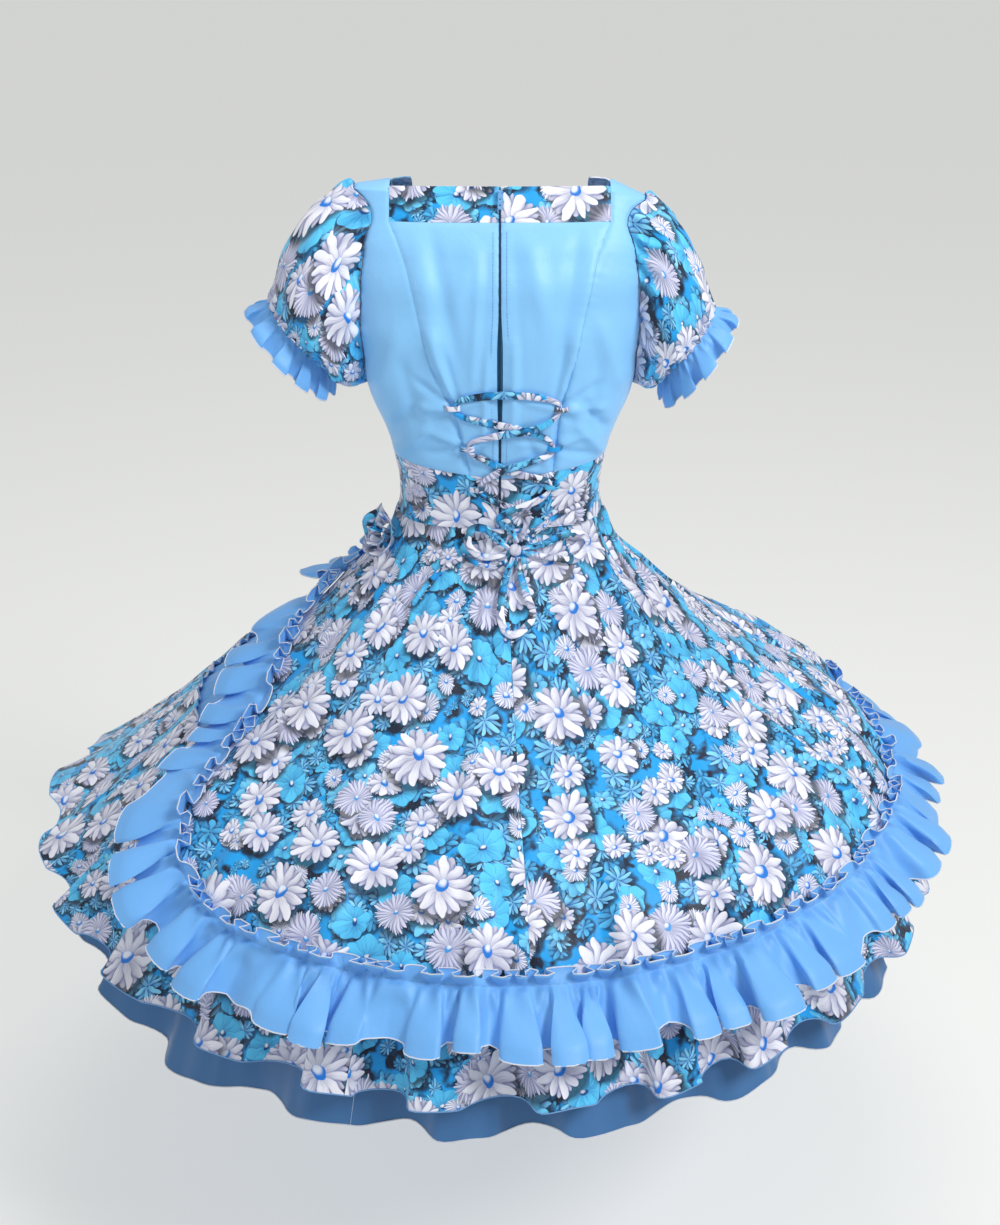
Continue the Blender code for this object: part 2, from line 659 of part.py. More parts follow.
def joined(name, parts, finish):
    """One object from closed parts that overlap, joined by Boolean unions with the helpers left out."""
    points, faces = parts[0]
    piece = add_piece(name, points, faces, finish)
    fix_normals(piece)
    for number, (points, faces) in enumerate(parts[1:]):
        helper = add_piece(f"{name}_part_{number}", points, faces, finish)
        fix_normals(helper)
        helper.hide_render = True
        helper.display_type = "WIRE"
        union = piece.modifiers.new("join", "BOOLEAN")
        union.operation = "UNION"
        union.object = helper
    return piece


def fix_normals(piece):
    """Turns a closed mesh's faces outwards."""
    work = bmesh.new()
    work.from_mesh(piece.data)
    bmesh.ops.recalc_face_normals(work, faces=work.faces)
    work.to_mesh(piece.data)
    work.free()


def on_slider(shape):
    """A shape drawn round the slider's middle, with its front at -Y, leaned to the slope of the neck band and put
    in its place there."""
    points, faces = shape
    points = np.asarray(points, float)
    lean = radians(SLIDER_LEAN)
    place = torso(np.array(0.0), np.array(SLIDER_HEIGHT)) + np.array([0.0, -cos(lean), sin(lean)]) * 0.0007
    turned = np.column_stack([
        points[:, 0],
        points[:, 1] * cos(lean) + points[:, 2] * sin(lean),
        -points[:, 1] * sin(lean) + points[:, 2] * cos(lean),
    ])
    return turned + place, faces


def add_slider():
    """The slider: a small plate with two ears and the pin between them, just outside the neck band."""
    body = slab([(-0.0032, -0.0050), (0.0032, -0.0050), (0.0040, 0.0050), (-0.0040, 0.0050)], -0.0022, 0.0)
    ears = [
        slab([(x, HINGE_Z - 0.0014), (x + 0.0009, HINGE_Z - 0.0014), (x + 0.0009, HINGE_Z + 0.0014),
              (x, HINGE_Z + 0.0014)], -HINGE_STANDOFF - 0.0010, -0.0015)
        for x in (-0.0033, 0.0024)
    ]
    pin = x_bar(-HINGE_STANDOFF, HINGE_Z, 0.0006, -0.0030, 0.0030)
    joined("zip_slider", [on_slider(shape) for shape in (body, *ears, pin)], ENAMEL)


def add_pull():
    """The pull tab: an eye round the slider's pin and a flat tab with two small holes that hangs from it."""
    outer, inner = 0.0017, 0.0009
    front = -HINGE_STANDOFF - outer
    eye = x_bar(-HINGE_STANDOFF, HINGE_Z, outer, -0.0020, 0.0020, 16)
    tab_points = [(-0.0018, -0.0010), (-0.0026, -0.0060), (-0.0028, -0.0200), (-0.0016, -0.0222),
                  (0.0016, -0.0222), (0.0028, -0.0200), (0.0026, -0.0060), (0.0018, -0.0010)]
    tab = slab([(x, z + HINGE_Z) for x, z in tab_points], front, front + 0.0012)
    piece = joined("zip_pull", [on_slider(tab), on_slider(eye)], ENAMEL)
    cuts = [x_bar(-HINGE_STANDOFF, HINGE_Z, inner, -0.004, 0.004, 16)]
    for z in (-0.0095, -0.0170):
        ring = np.arange(10) * 2 * pi / 10
        outline = np.column_stack([0.0011 * np.cos(ring), HINGE_Z + z + 0.0011 * np.sin(ring)])
        cuts.append(slab(outline, front - 0.002, front + 0.003))
    for number, shape in enumerate(cuts):
        points, faces = on_slider(shape)
        cutter = add_piece(f"zip_pull_cut_{number}", points, faces, ENAMEL)
        fix_normals(cutter)
        cutter.hide_render = True
        cutter.display_type = "WIRE"
        cut = piece.modifiers.new("cut", "BOOLEAN")
        cut.operation = "DIFFERENCE"
        cut.object = cutter


def armhole_ring(turn):
    """Points just outside the armhole's edge on the right; turn 0 is its top, pi/2 its back and pi its bottom."""
    height = ARMHOLE_CENTRE + ARMHOLE_HALF_HEIGHT * np.cos(turn)
    low = np.minimum(height, 0.0)
    back = np.sin(turn) > 0
    angle = np.where(back, angle_at_armhole(low), angle_at_armhole(low, True))
    point = torso(angle, low) + torso_out(angle, low) * 0.0017
    top = height > 0
    point[..., 0] += 0.0010 * top
    point[..., 1] *= np.where(top, np.abs(np.sin(turn)) / 0.24, 1.0)
    point[..., 2] += 0.0055 * top * np.cos(turn) ** 8
    return point


def sleeve_grid(table, side, rings, turns):
    """A sleeve from its armhole ring to its cuff: each ring runs from its top point round to its bottom point, with
    small gathers under the cap and above the cuff."""
    at = np.arange(len(table))
    top_x, top_z, low_x, low_z, depth = [
        smooth(rings, at, column(table, name))[:, None] for name in SleeveRing._fields
    ]
    turn = turns[None, :]
    up = (1 + np.cos(turn)) / 2
    x = low_x + (top_x - low_x) * up
    z = low_z + (top_z - low_z) * up
    y = -depth * np.sin(turn)
    ring = rings[:, None]
    cap = 0.0035 * np.exp(-((ring - 0.9) / 0.5) ** 2) * ramp(up * 1.6)
    cuff = 0.0030 * np.exp(-((ring - 3.4) / 0.4) ** 2)
    wave = cap * np.cos(7 * turn + 0.6) + cuff * np.cos(7 * turn)
    out_y = -np.sin(turn)
    out_z = np.cos(turn)
    grid = np.stack([x + wave * 0.3, y + wave * out_y, z + wave * out_z * 0.8], -1)
    grid += (armhole_ring(turn) - grid) * np.clip(1 - ring, 0, 1)[..., None] ** 2
    return grid * [side, 1.0, 1.0]


def build_sleeves():
    """The two flowered puff sleeves, each with a blue ruffle at its cuff."""
    for side, word, table in ((-1, "left", LEFT_SLEEVE), (1, "right", RIGHT_SLEEVE)):
        turns = np.arange(26) * 2 * pi / 26 * -side
        rings = np.array([0.0, 0.3, 0.9, 1.7, 2.6, 3.4, 4.0])
        grid = drop_right_shoulder(sleeve_grid(table, side, rings, turns))
        add_cloth("sleeve_" + word, grid, FLOWERED, around=True)
        add_sleeve_ruffle(word, side, table)


def add_sleeve_ruffle(word, side, table):
    """A cuff's ruffle: the cuff's ring moved along the arm and spread, in waves that grow towards its edge."""
    turns = np.arange(32) * 2 * pi / 32 * -side
    cuff = drop_right_shoulder(sleeve_grid(table, side, np.array([4.0]), turns))[0]
    last = table[-1]
    away = unit(np.array([side * (last.top_z - last.bottom_z), 0.0, last.bottom_x - last.top_x]))
    fall = unit(away * 0.7 + np.array([0.0, 0.0, -0.45]))
    centre = cuff.mean(axis=0)
    spread = unit(cuff - centre)
    wave = 0.5 + 0.5 * np.sin(8 * turns + 0.8 * np.sin(2 * turns))
    rows = []
    for share in (0.0, 0.4, 1.0):
        reach = 0.0008 + 0.034 * share
        flare = (0.006 + 0.012 * wave) * share
        rows.append(cuff + away * 0.0009 + fall * (reach - 0.0008) + spread * flare[:, None])
    add_cloth("sleeve_ruffle_" + word, np.array(rows), SKY, around=True)


def skirt_lengths():
    """The distance down the skirt's profile of each row of its table."""
    radius, height = column(SKIRT, "radius"), column(SKIRT, "height")
    return np.concatenate([[0.0], np.cumsum(np.hypot(np.diff(radius), np.diff(height)))])


def skirt(angle, length, lift):
    """A point of the skirt's surface, raised off it by a lift: angle 0 is the middle of the back, and the rings turn
    from the waist's oval into circles."""
    known = skirt_lengths()
    radii, heights = column(SKIRT, "radius"), column(SKIRT, "height")
    radius, height = smooth(length, known, radii), smooth(length, known, heights)
    above = np.clip(length - 0.002, 0.0, known[-1] - 0.004)
    slope_r = smooth(above + 0.004, known, radii) - smooth(above, known, radii)
    slope_z = smooth(above + 0.004, known, heights) - smooth(above, known, heights)
    size = np.hypot(slope_r, slope_z)
    radius = radius - slope_z / size * lift
    height = height + slope_r / size * lift
    oval = 0.70 + 0.30 * ramp(length / 0.26)
    return np.stack([radius * np.sin(angle), -radius * oval * np.cos(angle), height], -1)


def turn_from(angle, centre):
    """How far an angle in degrees lies from a centre, either way round."""
    return np.abs((angle - centre + 180.0) % 360.0 - 180.0)


def overskirt_fold(angle, length):
    """The sum of the overskirt's soft ridges, each a bell across and growing down the skirt."""
    total = skirt_lengths()[-1]
    height = np.zeros(np.broadcast(angle, length).shape)
    for fold in OVERSKIRT_FOLDS:
        across = np.exp(-((turn_from(angle, fold.angle) / fold.half_width) ** 2))
        height = height + fold.height * across * ramp((length / total - fold.start) / (1 - fold.start))
    return height


def edge_length(angle):
    """How far down the overskirt reaches at an angle in degrees: to the hip at the slit, to its hem elsewhere."""
    turn = turn_from(angle, SLIT_ANGLE)
    return smooth(turn, column(OVERSKIRT_EDGE, "turn"), column(OVERSKIRT_EDGE, "length"))


def overskirt_columns(count):
    """The angles of the overskirt's columns, in degrees, evenly spaced along its free edge."""
    angle = SLIT_ANGLE + np.linspace(0, 360, 1441)
    edge = skirt(np.radians(angle), edge_length(angle), 0.0)
    along = np.concatenate([[0.0], np.cumsum(np.linalg.norm(np.diff(edge, axis=0), axis=1))])
    return np.interp(np.linspace(0, along[-1], count + 1), along, angle)


def overskirt_grid():
    """The whole overskirt, from one side of its slit round to the other."""
    angle = overskirt_columns(64)[None, :]
    share = np.array([0.0, 0.05, 0.11, 0.20, 0.36, 0.57, 0.78, 1.0])[:, None]
    length = share * edge_length(angle)
    return skirt(np.radians(angle), length, overskirt_fold(angle, length))


def add_lengths(base, grid, normals, ends, finish, trims):
    """Adds a ring of cloth in joined lengths, from one end column to the next."""
    for number, (start, end) in enumerate(zip(ends[:-1], ends[1:]), 1):
        part = trimmed(grid[:, start:end + 1], **trims)
        name = base[number - 1] if isinstance(base, (list, tuple)) else f"{base}_{number}"
        add_cloth(name, part, finish, normals=normals[:, start:end + 1])


def build_overskirt():
    """The flowered overskirt's gores and the blue ruffle that is sewn along its whole free edge."""
    grid = overskirt_grid()
    normals = facing(grid)
    gores = ["overskirt_back_left", "overskirt_back_right", "overskirt_right", "overskirt_front_right",
             "overskirt_front_left"]
    add_lengths(gores, grid, normals, (0, 20, 31, 38, 46, 64), FLOWERED, dict(bottom=False))
    add_edge_ruffle(grid, normals)


def between(rows, parts):
    """A row of points with each cell split into equal parts."""
    at = np.arange((len(rows) - 1) * parts + 1) / parts
    low = np.minimum(at.astype(int), len(rows) - 2)
    share = (at - low)[:, None]
    return rows[low] * (1 - share) + rows[low + 1] * share


def edge_frame(grid, normals, parts=3):
    """The overskirt's free edge: its points, its outward direction and the way that the ruffle falls from it."""
    edge = between(grid[-1], parts)
    out = unit(between(normals[-1], parts))
    along = unit(np.gradient(edge, axis=0))
    kernel = np.ones(5) / 5
    padded = np.pad(along, ((2, 2), (0, 0)), mode="edge")
    along = unit(np.stack([np.convolve(padded[:, i], kernel, mode="valid") for i in range(3)], -1))
    return edge, out, unit(np.cross(along, out))


def ruffle_wave(count, waves, drift=0.0):
    """Waves from 0 to 1 along a ruffle, uneven in length and height."""
    at = np.linspace(0, 1, count)
    phase = 2 * pi * waves * at + 1.1 * np.sin(2 * pi * 7 * at + drift) + 0.7 * np.sin(2 * pi * 17 * at + 2 * drift)
    size = 0.78 + 0.22 * np.sin(2 * pi * 11 * at + 1.3 + drift)
    return (0.5 + 0.5 * np.sin(phase)) * size


def add_edge_ruffle(grid, normals):
    """The blue ruffle: a narrow header that stands up above its stitching, and a deep fall below it in waves."""
    edge, out, fall = edge_frame(grid, normals)
    count = len(edge)
    wave = ruffle_wave(count, RUFFLE_WAVES)[:, None]
    angle = np.degrees(np.arctan2(edge[:, 0], -edge[:, 1]))
    turn = np.radians(turn_from(angle, SLIT_ANGLE))
    radius = np.hypot(edge[:, 0], edge[:, 1])
    width = np.clip(0.75 * radius * np.sin(np.minimum(turn, pi / 2)), 0.010, RUFFLE_FALL)[:, None]
    narrow = width / RUFFLE_FALL
    base = CLOTH + LAYER_GAP
    down = np.array([0.0, 0.0, -1.0])
    header = edge - fall * RUFFLE_HEADER * np.minimum(1, narrow * 1.5) + out * (base + 0.0030 + 0.0065 * wave)
    stitch = edge + out * (base + 0.0005)
    hem = edge + fall * width + out * (base + (0.011 + 0.020 * wave) * narrow) + down * 0.008 * narrow
    ruffle = np.stack([header, stitch, hem])
    add_lengths("overskirt_ruffle", ruffle, facing(ruffle), (3, 48, 96, 144, 189), SKY,
                dict(top=False, bottom=False))


def underskirt_grid():
    """The blue underskirt: the skirt's own profile, set in a little more from the hip down, with shallow folds."""
    angle = (SLIT_ANGLE + np.arange(37) * 360 / 36)[None, :]
    length = np.array([0.0, 0.015, 0.045, 0.100, 0.190, 0.300, UNDERSKIRT_END])[:, None]
    inset = CLOTH + 2 * LAYER_GAP + UNDERSKIRT_INSET * np.minimum(1, length / 0.09)
    fold = 0.0035 * np.sin(np.radians(angle) * 11 + 0.8) * ramp((length - 0.15) / 0.2)
    return skirt(np.radians(angle), length, fold - inset)


def flounce_rows(base, table, shares, wave, depth, sag=0.0):
    """The rows of a flounce that hangs from a ring of points: out and down by its table, in radial waves, raised
    over the left hip and sagging by its hem behind that hip."""
    radial = base * [1.0, 1.0, 0.0]
    radial = unit(radial)
    angle = np.degrees(np.arctan2(base[:, 0], -base[:, 1]))
    raised = np.exp(-((turn_from(angle, HIP_RAISE_ANGLE) / HIP_RAISE_WIDTH) ** 2))[:, None]
    sagging = sag * np.exp(-((turn_from(angle, LOW_SAG_ANGLE) / LOW_SAG_WIDTH) ** 2))
    rows = []
    for share in shares:
        out = smooth(share, column(table, "share"), column(table, "out"))
        down = smooth(share, column(table, "share"), column(table, "down"))
        row = base + radial * (out + 0.050 * raised * share ** 2 + depth * share * wave)
        row[:, 2] += -down + (0.045 * raised[:, 0] - sagging) * share ** 2
        rows.append(row)
    return rows


def closed_facing(grid):
    """The outward directions of a ring whose last column repeats its first."""
    normals = facing(grid[:, :-1], around=True)
    return np.concatenate([normals, normals[:, :1]], axis=1)


def build_underskirt():
    """The blue underskirt's panels, its flowered flounce and the lowest blue flounce beneath that."""
    grid = underskirt_grid()
    normals = closed_facing(grid)
    panels = ["underskirt_back_left", "underskirt_back_right", "underskirt_front_right", "underskirt_front_left"]
    add_lengths(panels, grid, normals, (0, 9, 18, 27, 36), SKY, dict(bottom=False))
    edge, out = between(grid[-1], 3), unit(between(normals[-1], 3))
    above = between(grid[-2], 3)
    uphill = unit(above - edge)
    at = np.linspace(0, 2 * pi, len(edge))
    wave = np.sin(FLOUNCE_WAVES * at + 0.9 * np.sin(3 * at) + 0.5 * np.sin(8 * at))[:, None]
    header = edge + uphill * 0.018 + out * (CLOTH + 0.0030 + 0.0018 * (1 + wave))
    seam = edge + uphill * 0.001 + out * (CLOTH + LAYER_GAP + 0.0004)
    rows = flounce_rows(seam, FLOUNCE, (0.45, 1.0), wave, 0.014)
    flounce = np.stack([header, seam, *rows])
    lengths = (0, 27, 54, 81, 108)
    add_lengths("flounce", flounce, closed_facing(flounce), lengths, FLOWERED, dict(top=False, bottom=False))
    low_wave = np.sin(LOW_FLOUNCE_WAVES * at + 1.1 * np.sin(2 * at) + 0.6 * np.sin(7 * at))[:, None]
    low_seam = edge + uphill * 0.006 - out * (CLOTH + LAYER_GAP)
    low = np.stack([low_seam, *flounce_rows(low_seam, LOW_FLOUNCE, (0.5, 1.0), low_wave, 0.014, LOW_SAG)])
    add_lengths("low_flounce", low, closed_facing(low), lengths, DEEP_SKY, dict(top=False, bottom=False))


def build_rosette():
    """The rosette at the left hip: one strip wound twice round, gathered at its foot, with a waved edge."""
    turns = 2.2
    count = 52
    at = np.linspace(0, 1, count)
    turn = 2 * pi * turns * at
    wave = np.sin(11 * 2 * pi * at + 0.5)
    axis = unit(np.array([-0.72, -0.58, 0.38]))
    side = unit(np.cross(axis, [0.0, 0.0, 1.0]))
    up = np.cross(side, axis)
    centre = skirt(np.array(radians(ROSETTE_ANGLE)), np.array(ROSETTE_DROP), 0.0) + axis * ROSETTE_STANDOFF
    spoke = np.cos(turn)[:, None] * side + np.sin(turn)[:, None] * up
    foot = centre + spoke * (0.004 + 0.0088 * turns * at)[:, None]
    middle = foot + spoke * (0.003 + 0.003 * at)[:, None] + axis * 0.009
    lip_out = 0.005 + 0.010 * at + 0.0016 * wave
    lip = foot + spoke * lip_out[:, None] + axis * (0.019 - 0.007 * at + 0.003 * wave)[:, None]
    add_cloth("hip_rosette", np.stack([foot, middle, lip]), FLOWERED, thickness=0.0012)


def build_loops():
    """The six small cloth loops that the lace runs through, each an arch over a back seam."""
    for word, place in LACE_LOOPS.items():
        angle = float(angle_at_x(np.array(place.x), np.array(place.height)))
        point, across, out, down = torso_frame(angle, place.height)
        reach = np.linspace(pi, 0, 7)
        rows = []
        for drop in (-0.0036, 0.0036):
            arch = [
                point + across * 0.0095 * cos(a) + out * (0.0014 + 0.0066 * sin(a)) + down * drop for a in reach
            ]
            rows.append(arch)
        add_cloth("lace_loop_" + word, np.array(rows), FLOWERED, thickness=0.0010)


def torso_frame(angle, height):
    """A torso point with the directions across, outwards and down at it."""
    delta = 0.001
    point = torso(np.array(angle), np.array(height))
    across = unit(torso(np.array(angle + delta), np.array(height)) - point)
    down = unit(torso(np.array(angle), np.array(height - delta)) - point)
    return point, across, unit(np.cross(down, across)), down


def on_back(x, height, lift):
    """A point over the back of the bodice or skirt, lifted off the cloth at a given x and height, and the outward
    direction there."""
    if height > WAIST_SEAM:
        angle = angle_at_x(np.array(x), np.array(height))
        out = torso_out(angle, np.array(height))
        return torso(angle, np.array(height)) + out * lift, out
    lengths = skirt_lengths()
    length = np.interp(-height, -np.array(column(SKIRT, "height")), lengths)
    radius = smooth(length, lengths, column(SKIRT, "radius"))
    angle = np.arcsin(x / radius)
    low = skirt(angle, length, 0.0)
    out = unit(skirt(angle, length, 0.01) - low)
    return low + out * lift, out


def curve_through(points, parts):
    """A smooth curve through points, as a Catmull-Rom spline with each span in equal parts."""
    points = np.asarray(points, float)
    padded = np.concatenate([2 * points[:1] - points[1:2], points, 2 * points[-1:] - points[-2:-1]])
    share = (np.arange(parts) / parts)[None, :, None]
    a, b, c, d = [padded[i:len(padded) - 3 + i][:, None] for i in range(4)]
    spans = 0.5 * (2 * b + (c - a) * share + (2 * a - 5 * b + 4 * c - d) * share ** 2
                   + (3 * b - a - 3 * c + d) * share ** 3)
    return np.concatenate([spans.reshape(-1, points.shape[1]), points[-1:]])


def add_flat_lace(name, table, parts=1):
    """A flattened tube of the lace along a table's points, lying flat to the cloth below it."""
    placed = [on_back(row.x, row.height, row.lift) for row in table]
    centre = curve_through([point for point, _ in placed], parts)
    out = unit(curve_through([direction for _, direction in placed], parts))
    width = curve_through([[row.width] for row in table], parts)
    along = unit(np.gradient(centre, axis=0))
    across = unit(np.cross(along, out))
    out = np.cross(across, along)
    half_wide, half_thick = across * width / 2, out * LACE_THICKNESS / 2
    ring = np.stack([centre - half_wide, centre + half_thick, centre + half_wide, centre - half_thick], axis=1)
    count = len(centre)
    number = np.arange(count * 4).reshape(count, 4)
    faces = []
    for i in range(4):
        j = (i + 1) % 4
        faces += [[a, b, c, d] for a, b, c, d in
                  zip(number[:-1, i], number[:-1, j], number[1:, j], number[1:, i])]
    faces += [list(number[0][::-1]), list(number[-1])]
    fix_normals(add_piece(name, ring.reshape(-1, 3), faces, FLOWERED))


def add_lace_end(name, table):
    """A free end of the lace: a round tube with filled ends along a smooth curve."""
    points = curve_through([on_back(row.x, row.height, row.lift)[0] for row in table], 2)
    curve = bpy.data.curves.new(name, "CURVE")
    curve.dimensions = "3D"
    curve.bevel_depth = LACE_END_RADIUS
    curve.bevel_resolution = 2
    curve.use_fill_caps = True
    spline = curve.splines.new("POLY")
    spline.points.add(len(points) - 1)
    for place, point in zip(spline.points, points):
        place.co = (*point, 1.0)
    curve.materials.append(finish_of(FLOWERED))
    bpy.context.collection.objects.link(bpy.data.objects.new(name, curve))


def add_bow_knot():
    """The bow's knot: a rounded lump, flattened against the cloth."""
    centre, out = on_back(BOW_KNOT.x, BOW_KNOT.height, BOW_KNOT.lift)
    across = unit(np.cross([0.0, 0.0, 1.0], out))
    half = BOW_KNOT.width / 2
    axes = np.stack([across, np.cross(out, across), out * 0.75]) * half
    ball = bmesh.new()
    bmesh.ops.create_icosphere(ball, subdivisions=2, radius=1.0)
    for vertex in ball.verts:
        vertex.co = np.array(vertex.co) @ axes + centre
    bmesh.ops.recalc_face_normals(ball, faces=ball.faces)
    mesh = bpy.data.meshes.new("bow_knot")
    ball.to_mesh(mesh)
    ball.free()
    mesh.materials.append(finish_of(FLOWERED))
    mesh.shade_smooth()
    bpy.context.collection.objects.link(bpy.data.objects.new("bow_knot", mesh))


def build_lace():
    """The lace through its loops, the bow's knot and loops, and the two free ends."""
    add_flat_lace("lace", LACE)
    add_bow_knot()
    for name, table in BOW_LOOPS.items():
        add_flat_lace(name, table, 2)
    for name, table in LACE_ENDS.items():
        add_lace_end(name, table)


def main():
    clear_scene()
    build_back()
    build_front()
    build_neck()
    build_waist()
    build_zip()
    build_sleeves()
    build_overskirt()
    build_underskirt()
    build_rosette()
    build_loops()
    build_lace()


main()
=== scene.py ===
"""The looks of a cueca dress: blue satin, printed satin with generic daisies, ruffles, lacing and studio.

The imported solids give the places; every cloth piece here is a thin closed shell on its solid's form, worked
out on a grid of points with numpy. Metres, +Z up, the back of the dress at -Y."""

import logging
from collections.abc import Callable, Sequence
from dataclasses import dataclass
from enum import Enum
from functools import partialmethod
from math import pi, radians

import bpy
import numpy as np
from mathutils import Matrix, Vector


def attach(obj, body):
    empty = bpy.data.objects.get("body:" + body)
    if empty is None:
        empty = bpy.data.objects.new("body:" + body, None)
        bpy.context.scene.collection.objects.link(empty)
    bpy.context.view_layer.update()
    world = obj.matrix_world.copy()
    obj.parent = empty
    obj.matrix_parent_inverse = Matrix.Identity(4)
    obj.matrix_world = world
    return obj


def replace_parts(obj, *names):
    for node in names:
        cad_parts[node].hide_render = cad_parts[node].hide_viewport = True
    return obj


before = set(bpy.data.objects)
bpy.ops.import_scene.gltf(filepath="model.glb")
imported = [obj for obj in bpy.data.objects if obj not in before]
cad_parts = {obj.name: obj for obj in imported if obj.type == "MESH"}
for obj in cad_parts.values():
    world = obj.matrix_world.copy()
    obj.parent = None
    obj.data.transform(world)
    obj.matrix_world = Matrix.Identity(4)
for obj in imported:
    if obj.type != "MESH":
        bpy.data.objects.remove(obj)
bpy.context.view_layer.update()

Array = np.ndarray
logging.basicConfig(level=logging.INFO, format="%(message)s")
LOG = logging.getLogger("dress")

BODY = "dress"
SEAM_GAP = 0.0003
SHELL = 0.0007
SERGED_RADIUS = 0.00085


# Shared curves


def smooth(at: Array | float, known: Sequence[float], values: Sequence[float]) -> Array:
    """A cubic through a table that never overshoots: each slope is the harmonic mean of the two beside it.

    Args:
        at: where to read the curve.
        known: the table's positions, rising.
        values: the table's values.

    Returns:
        The curve's values at each place.
    """
    known_at, value = np.asarray(known, float), np.asarray(values, float)
    step = np.diff(known_at)
    slope = np.diff(value) / step
    total, product = slope[:-1] + slope[1:], slope[:-1] * slope[1:]
    rising = product > 0
    inner = np.where(rising, 2 * product / np.where(rising, total, 1.0), 0.0)
    tangent = np.concatenate([slope[:1], inner, slope[-1:]])
    place = np.clip(np.asarray(at, float), known_at[0], known_at[-1])
    cell = np.clip(np.searchsorted(known_at, place, side="right") - 1, 0, len(known_at) - 2)
    share = (place - known_at[cell]) / step[cell]
    start = value[cell] + share * step[cell] * tangent[cell]
    end = value[cell + 1] - (1 - share) * step[cell] * tangent[cell + 1]
    mix = share * share * (3 - 2 * share)
    return start * (1 - mix) + end * mix


def ramp(value: Array | float) -> Array:
    """0 below 0 and 1 above 1, by 3t squared minus 2t cubed between."""
    share = np.clip(value, 0.0, 1.0)
    return share * share * (3 - 2 * share)


def unit(vectors: Array) -> Array:
    """The same vectors at a length of 1."""
    return vectors / np.maximum(np.linalg.norm(vectors, axis=-1, keepdims=True), 1e-12)


def facing(grid: Array, around: bool = False) -> Array:
    """The outward direction at each point: the way down its column crossed with the way along its row."""
    down = np.gradient(grid, axis=0)
    along = (np.roll(grid, -1, 1) - np.roll(grid, 1, 1)) / 2 if around else np.gradient(grid, axis=1)
    return unit(np.cross(down, along))


def ring_facing(grid: Array) -> Array:
    """The outward directions of a ring whose last column repeats its first."""
    normals = facing(grid[:, :-1], around=True)
    return np.concatenate([normals, normals[:, :1]], axis=1)


def shares(count: int) -> Array:
    """Even shares from 0 to 1, with two close ones at each end where a seam turns in."""
    close = np.array([0.12, 0.35]) / count
    return np.unique(np.concatenate([np.linspace(0, 1, count + 1), close, 1 - close]))


def rows_with(low: float, high: float, count: int, extra: Sequence[float]) -> Array:
    """Evenly spaced numbers and a few extra ones, rising, as a column."""
    return np.unique(np.concatenate([np.linspace(low, high, count), extra]))[:, None]


def paired(across: Array, down: Array) -> Array:
    """Two arrays, broadcast to one shape, as one array of pairs."""
    return np.stack(np.broadcast_arrays(across, down), -1)


def drift(at: Array, lengths: Sequence[float], seed: int) -> Array:
    """A smooth uneven curve near -1 to 1: a sum of sines with the given wavelengths and seeded phases."""
    turn = np.random.default_rng(seed).uniform(0, 2 * pi, len(lengths))
    total = sum(np.sin(2 * pi * at / length + phase) for length, phase in zip(lengths, turn))
    return total / len(lengths) ** 0.5


def curve_through(points: Array, parts: int) -> Array:
    """A smooth curve through points, as a Catmull-Rom spline with each span in equal parts."""
    points = np.asarray(points, float)
    padded = np.concatenate([2 * points[:1] - points[1:2], points, 2 * points[-1:] - points[-2:-1]])
    share = (np.arange(parts) / parts)[None, :, None]
    a, b, c, d = [padded[i : len(padded) - 3 + i][:, None] for i in range(4)]
    spans = 0.5 * (
        2 * b
        + (c - a) * share
        + (2 * a - 5 * b + 4 * c - d) * share**2
        + (3 * b - a - 3 * c + d) * share**3
    )
    return np.concatenate([spans.reshape(-1, points.shape[1]), points[-1:]])


def walked(points: Array, axis: int = 0) -> Array:
    """The distance walked along an axis of an array of points, from 0."""
    step = np.linalg.norm(np.diff(points, axis=axis), axis=-1)
    start = np.zeros_like(np.take(step, [0], axis=axis))
    return np.concatenate([start, np.cumsum(step, axis=axis)], axis=axis)


def table(kind: type, rows: Sequence[tuple]) -> tuple:
    """A table's rows as objects of a kind, whose fields are the columns in order."""
    return tuple(kind(*row) for row in rows)


@dataclass(frozen=True)
class Crease:
    """A soft ridge (height above 0) or trough (below 0) drawn between two places on a cloth.

    Its height falls off as a bell across its line and as a rounded bump along it.
    """

    start_across: float
    start_down: float
    end_across: float
    end_down: float
    height: float
    width: float

    def lift(self, across: Array, down: Array) -> Array:
        """The crease's height at each place of a cloth."""
        x0, y0 = self.start_across, self.start_down
        dx, dy = self.end_across - x0, self.end_down - y0
        size = dx * dx + dy * dy
        along = ((across - x0) * dx + (down - y0) * dy) / size
        off = np.abs((across - x0) * dy - (down - y0) * dx) / size**0.5
        bump = ramp(along * 3 + 0.6) * ramp((1 - along) * 2.2 + 0.4)
        return self.height * bump * np.exp(-((off / self.width) ** 2))


def creased(creases: Sequence[Crease], across: Array, down: Array) -> Array:
    """The sum of several creases at each place of a cloth."""
    return sum((crease.lift(across, down) for crease in creases), np.zeros(np.broadcast(across, down).shape))


# Finishes


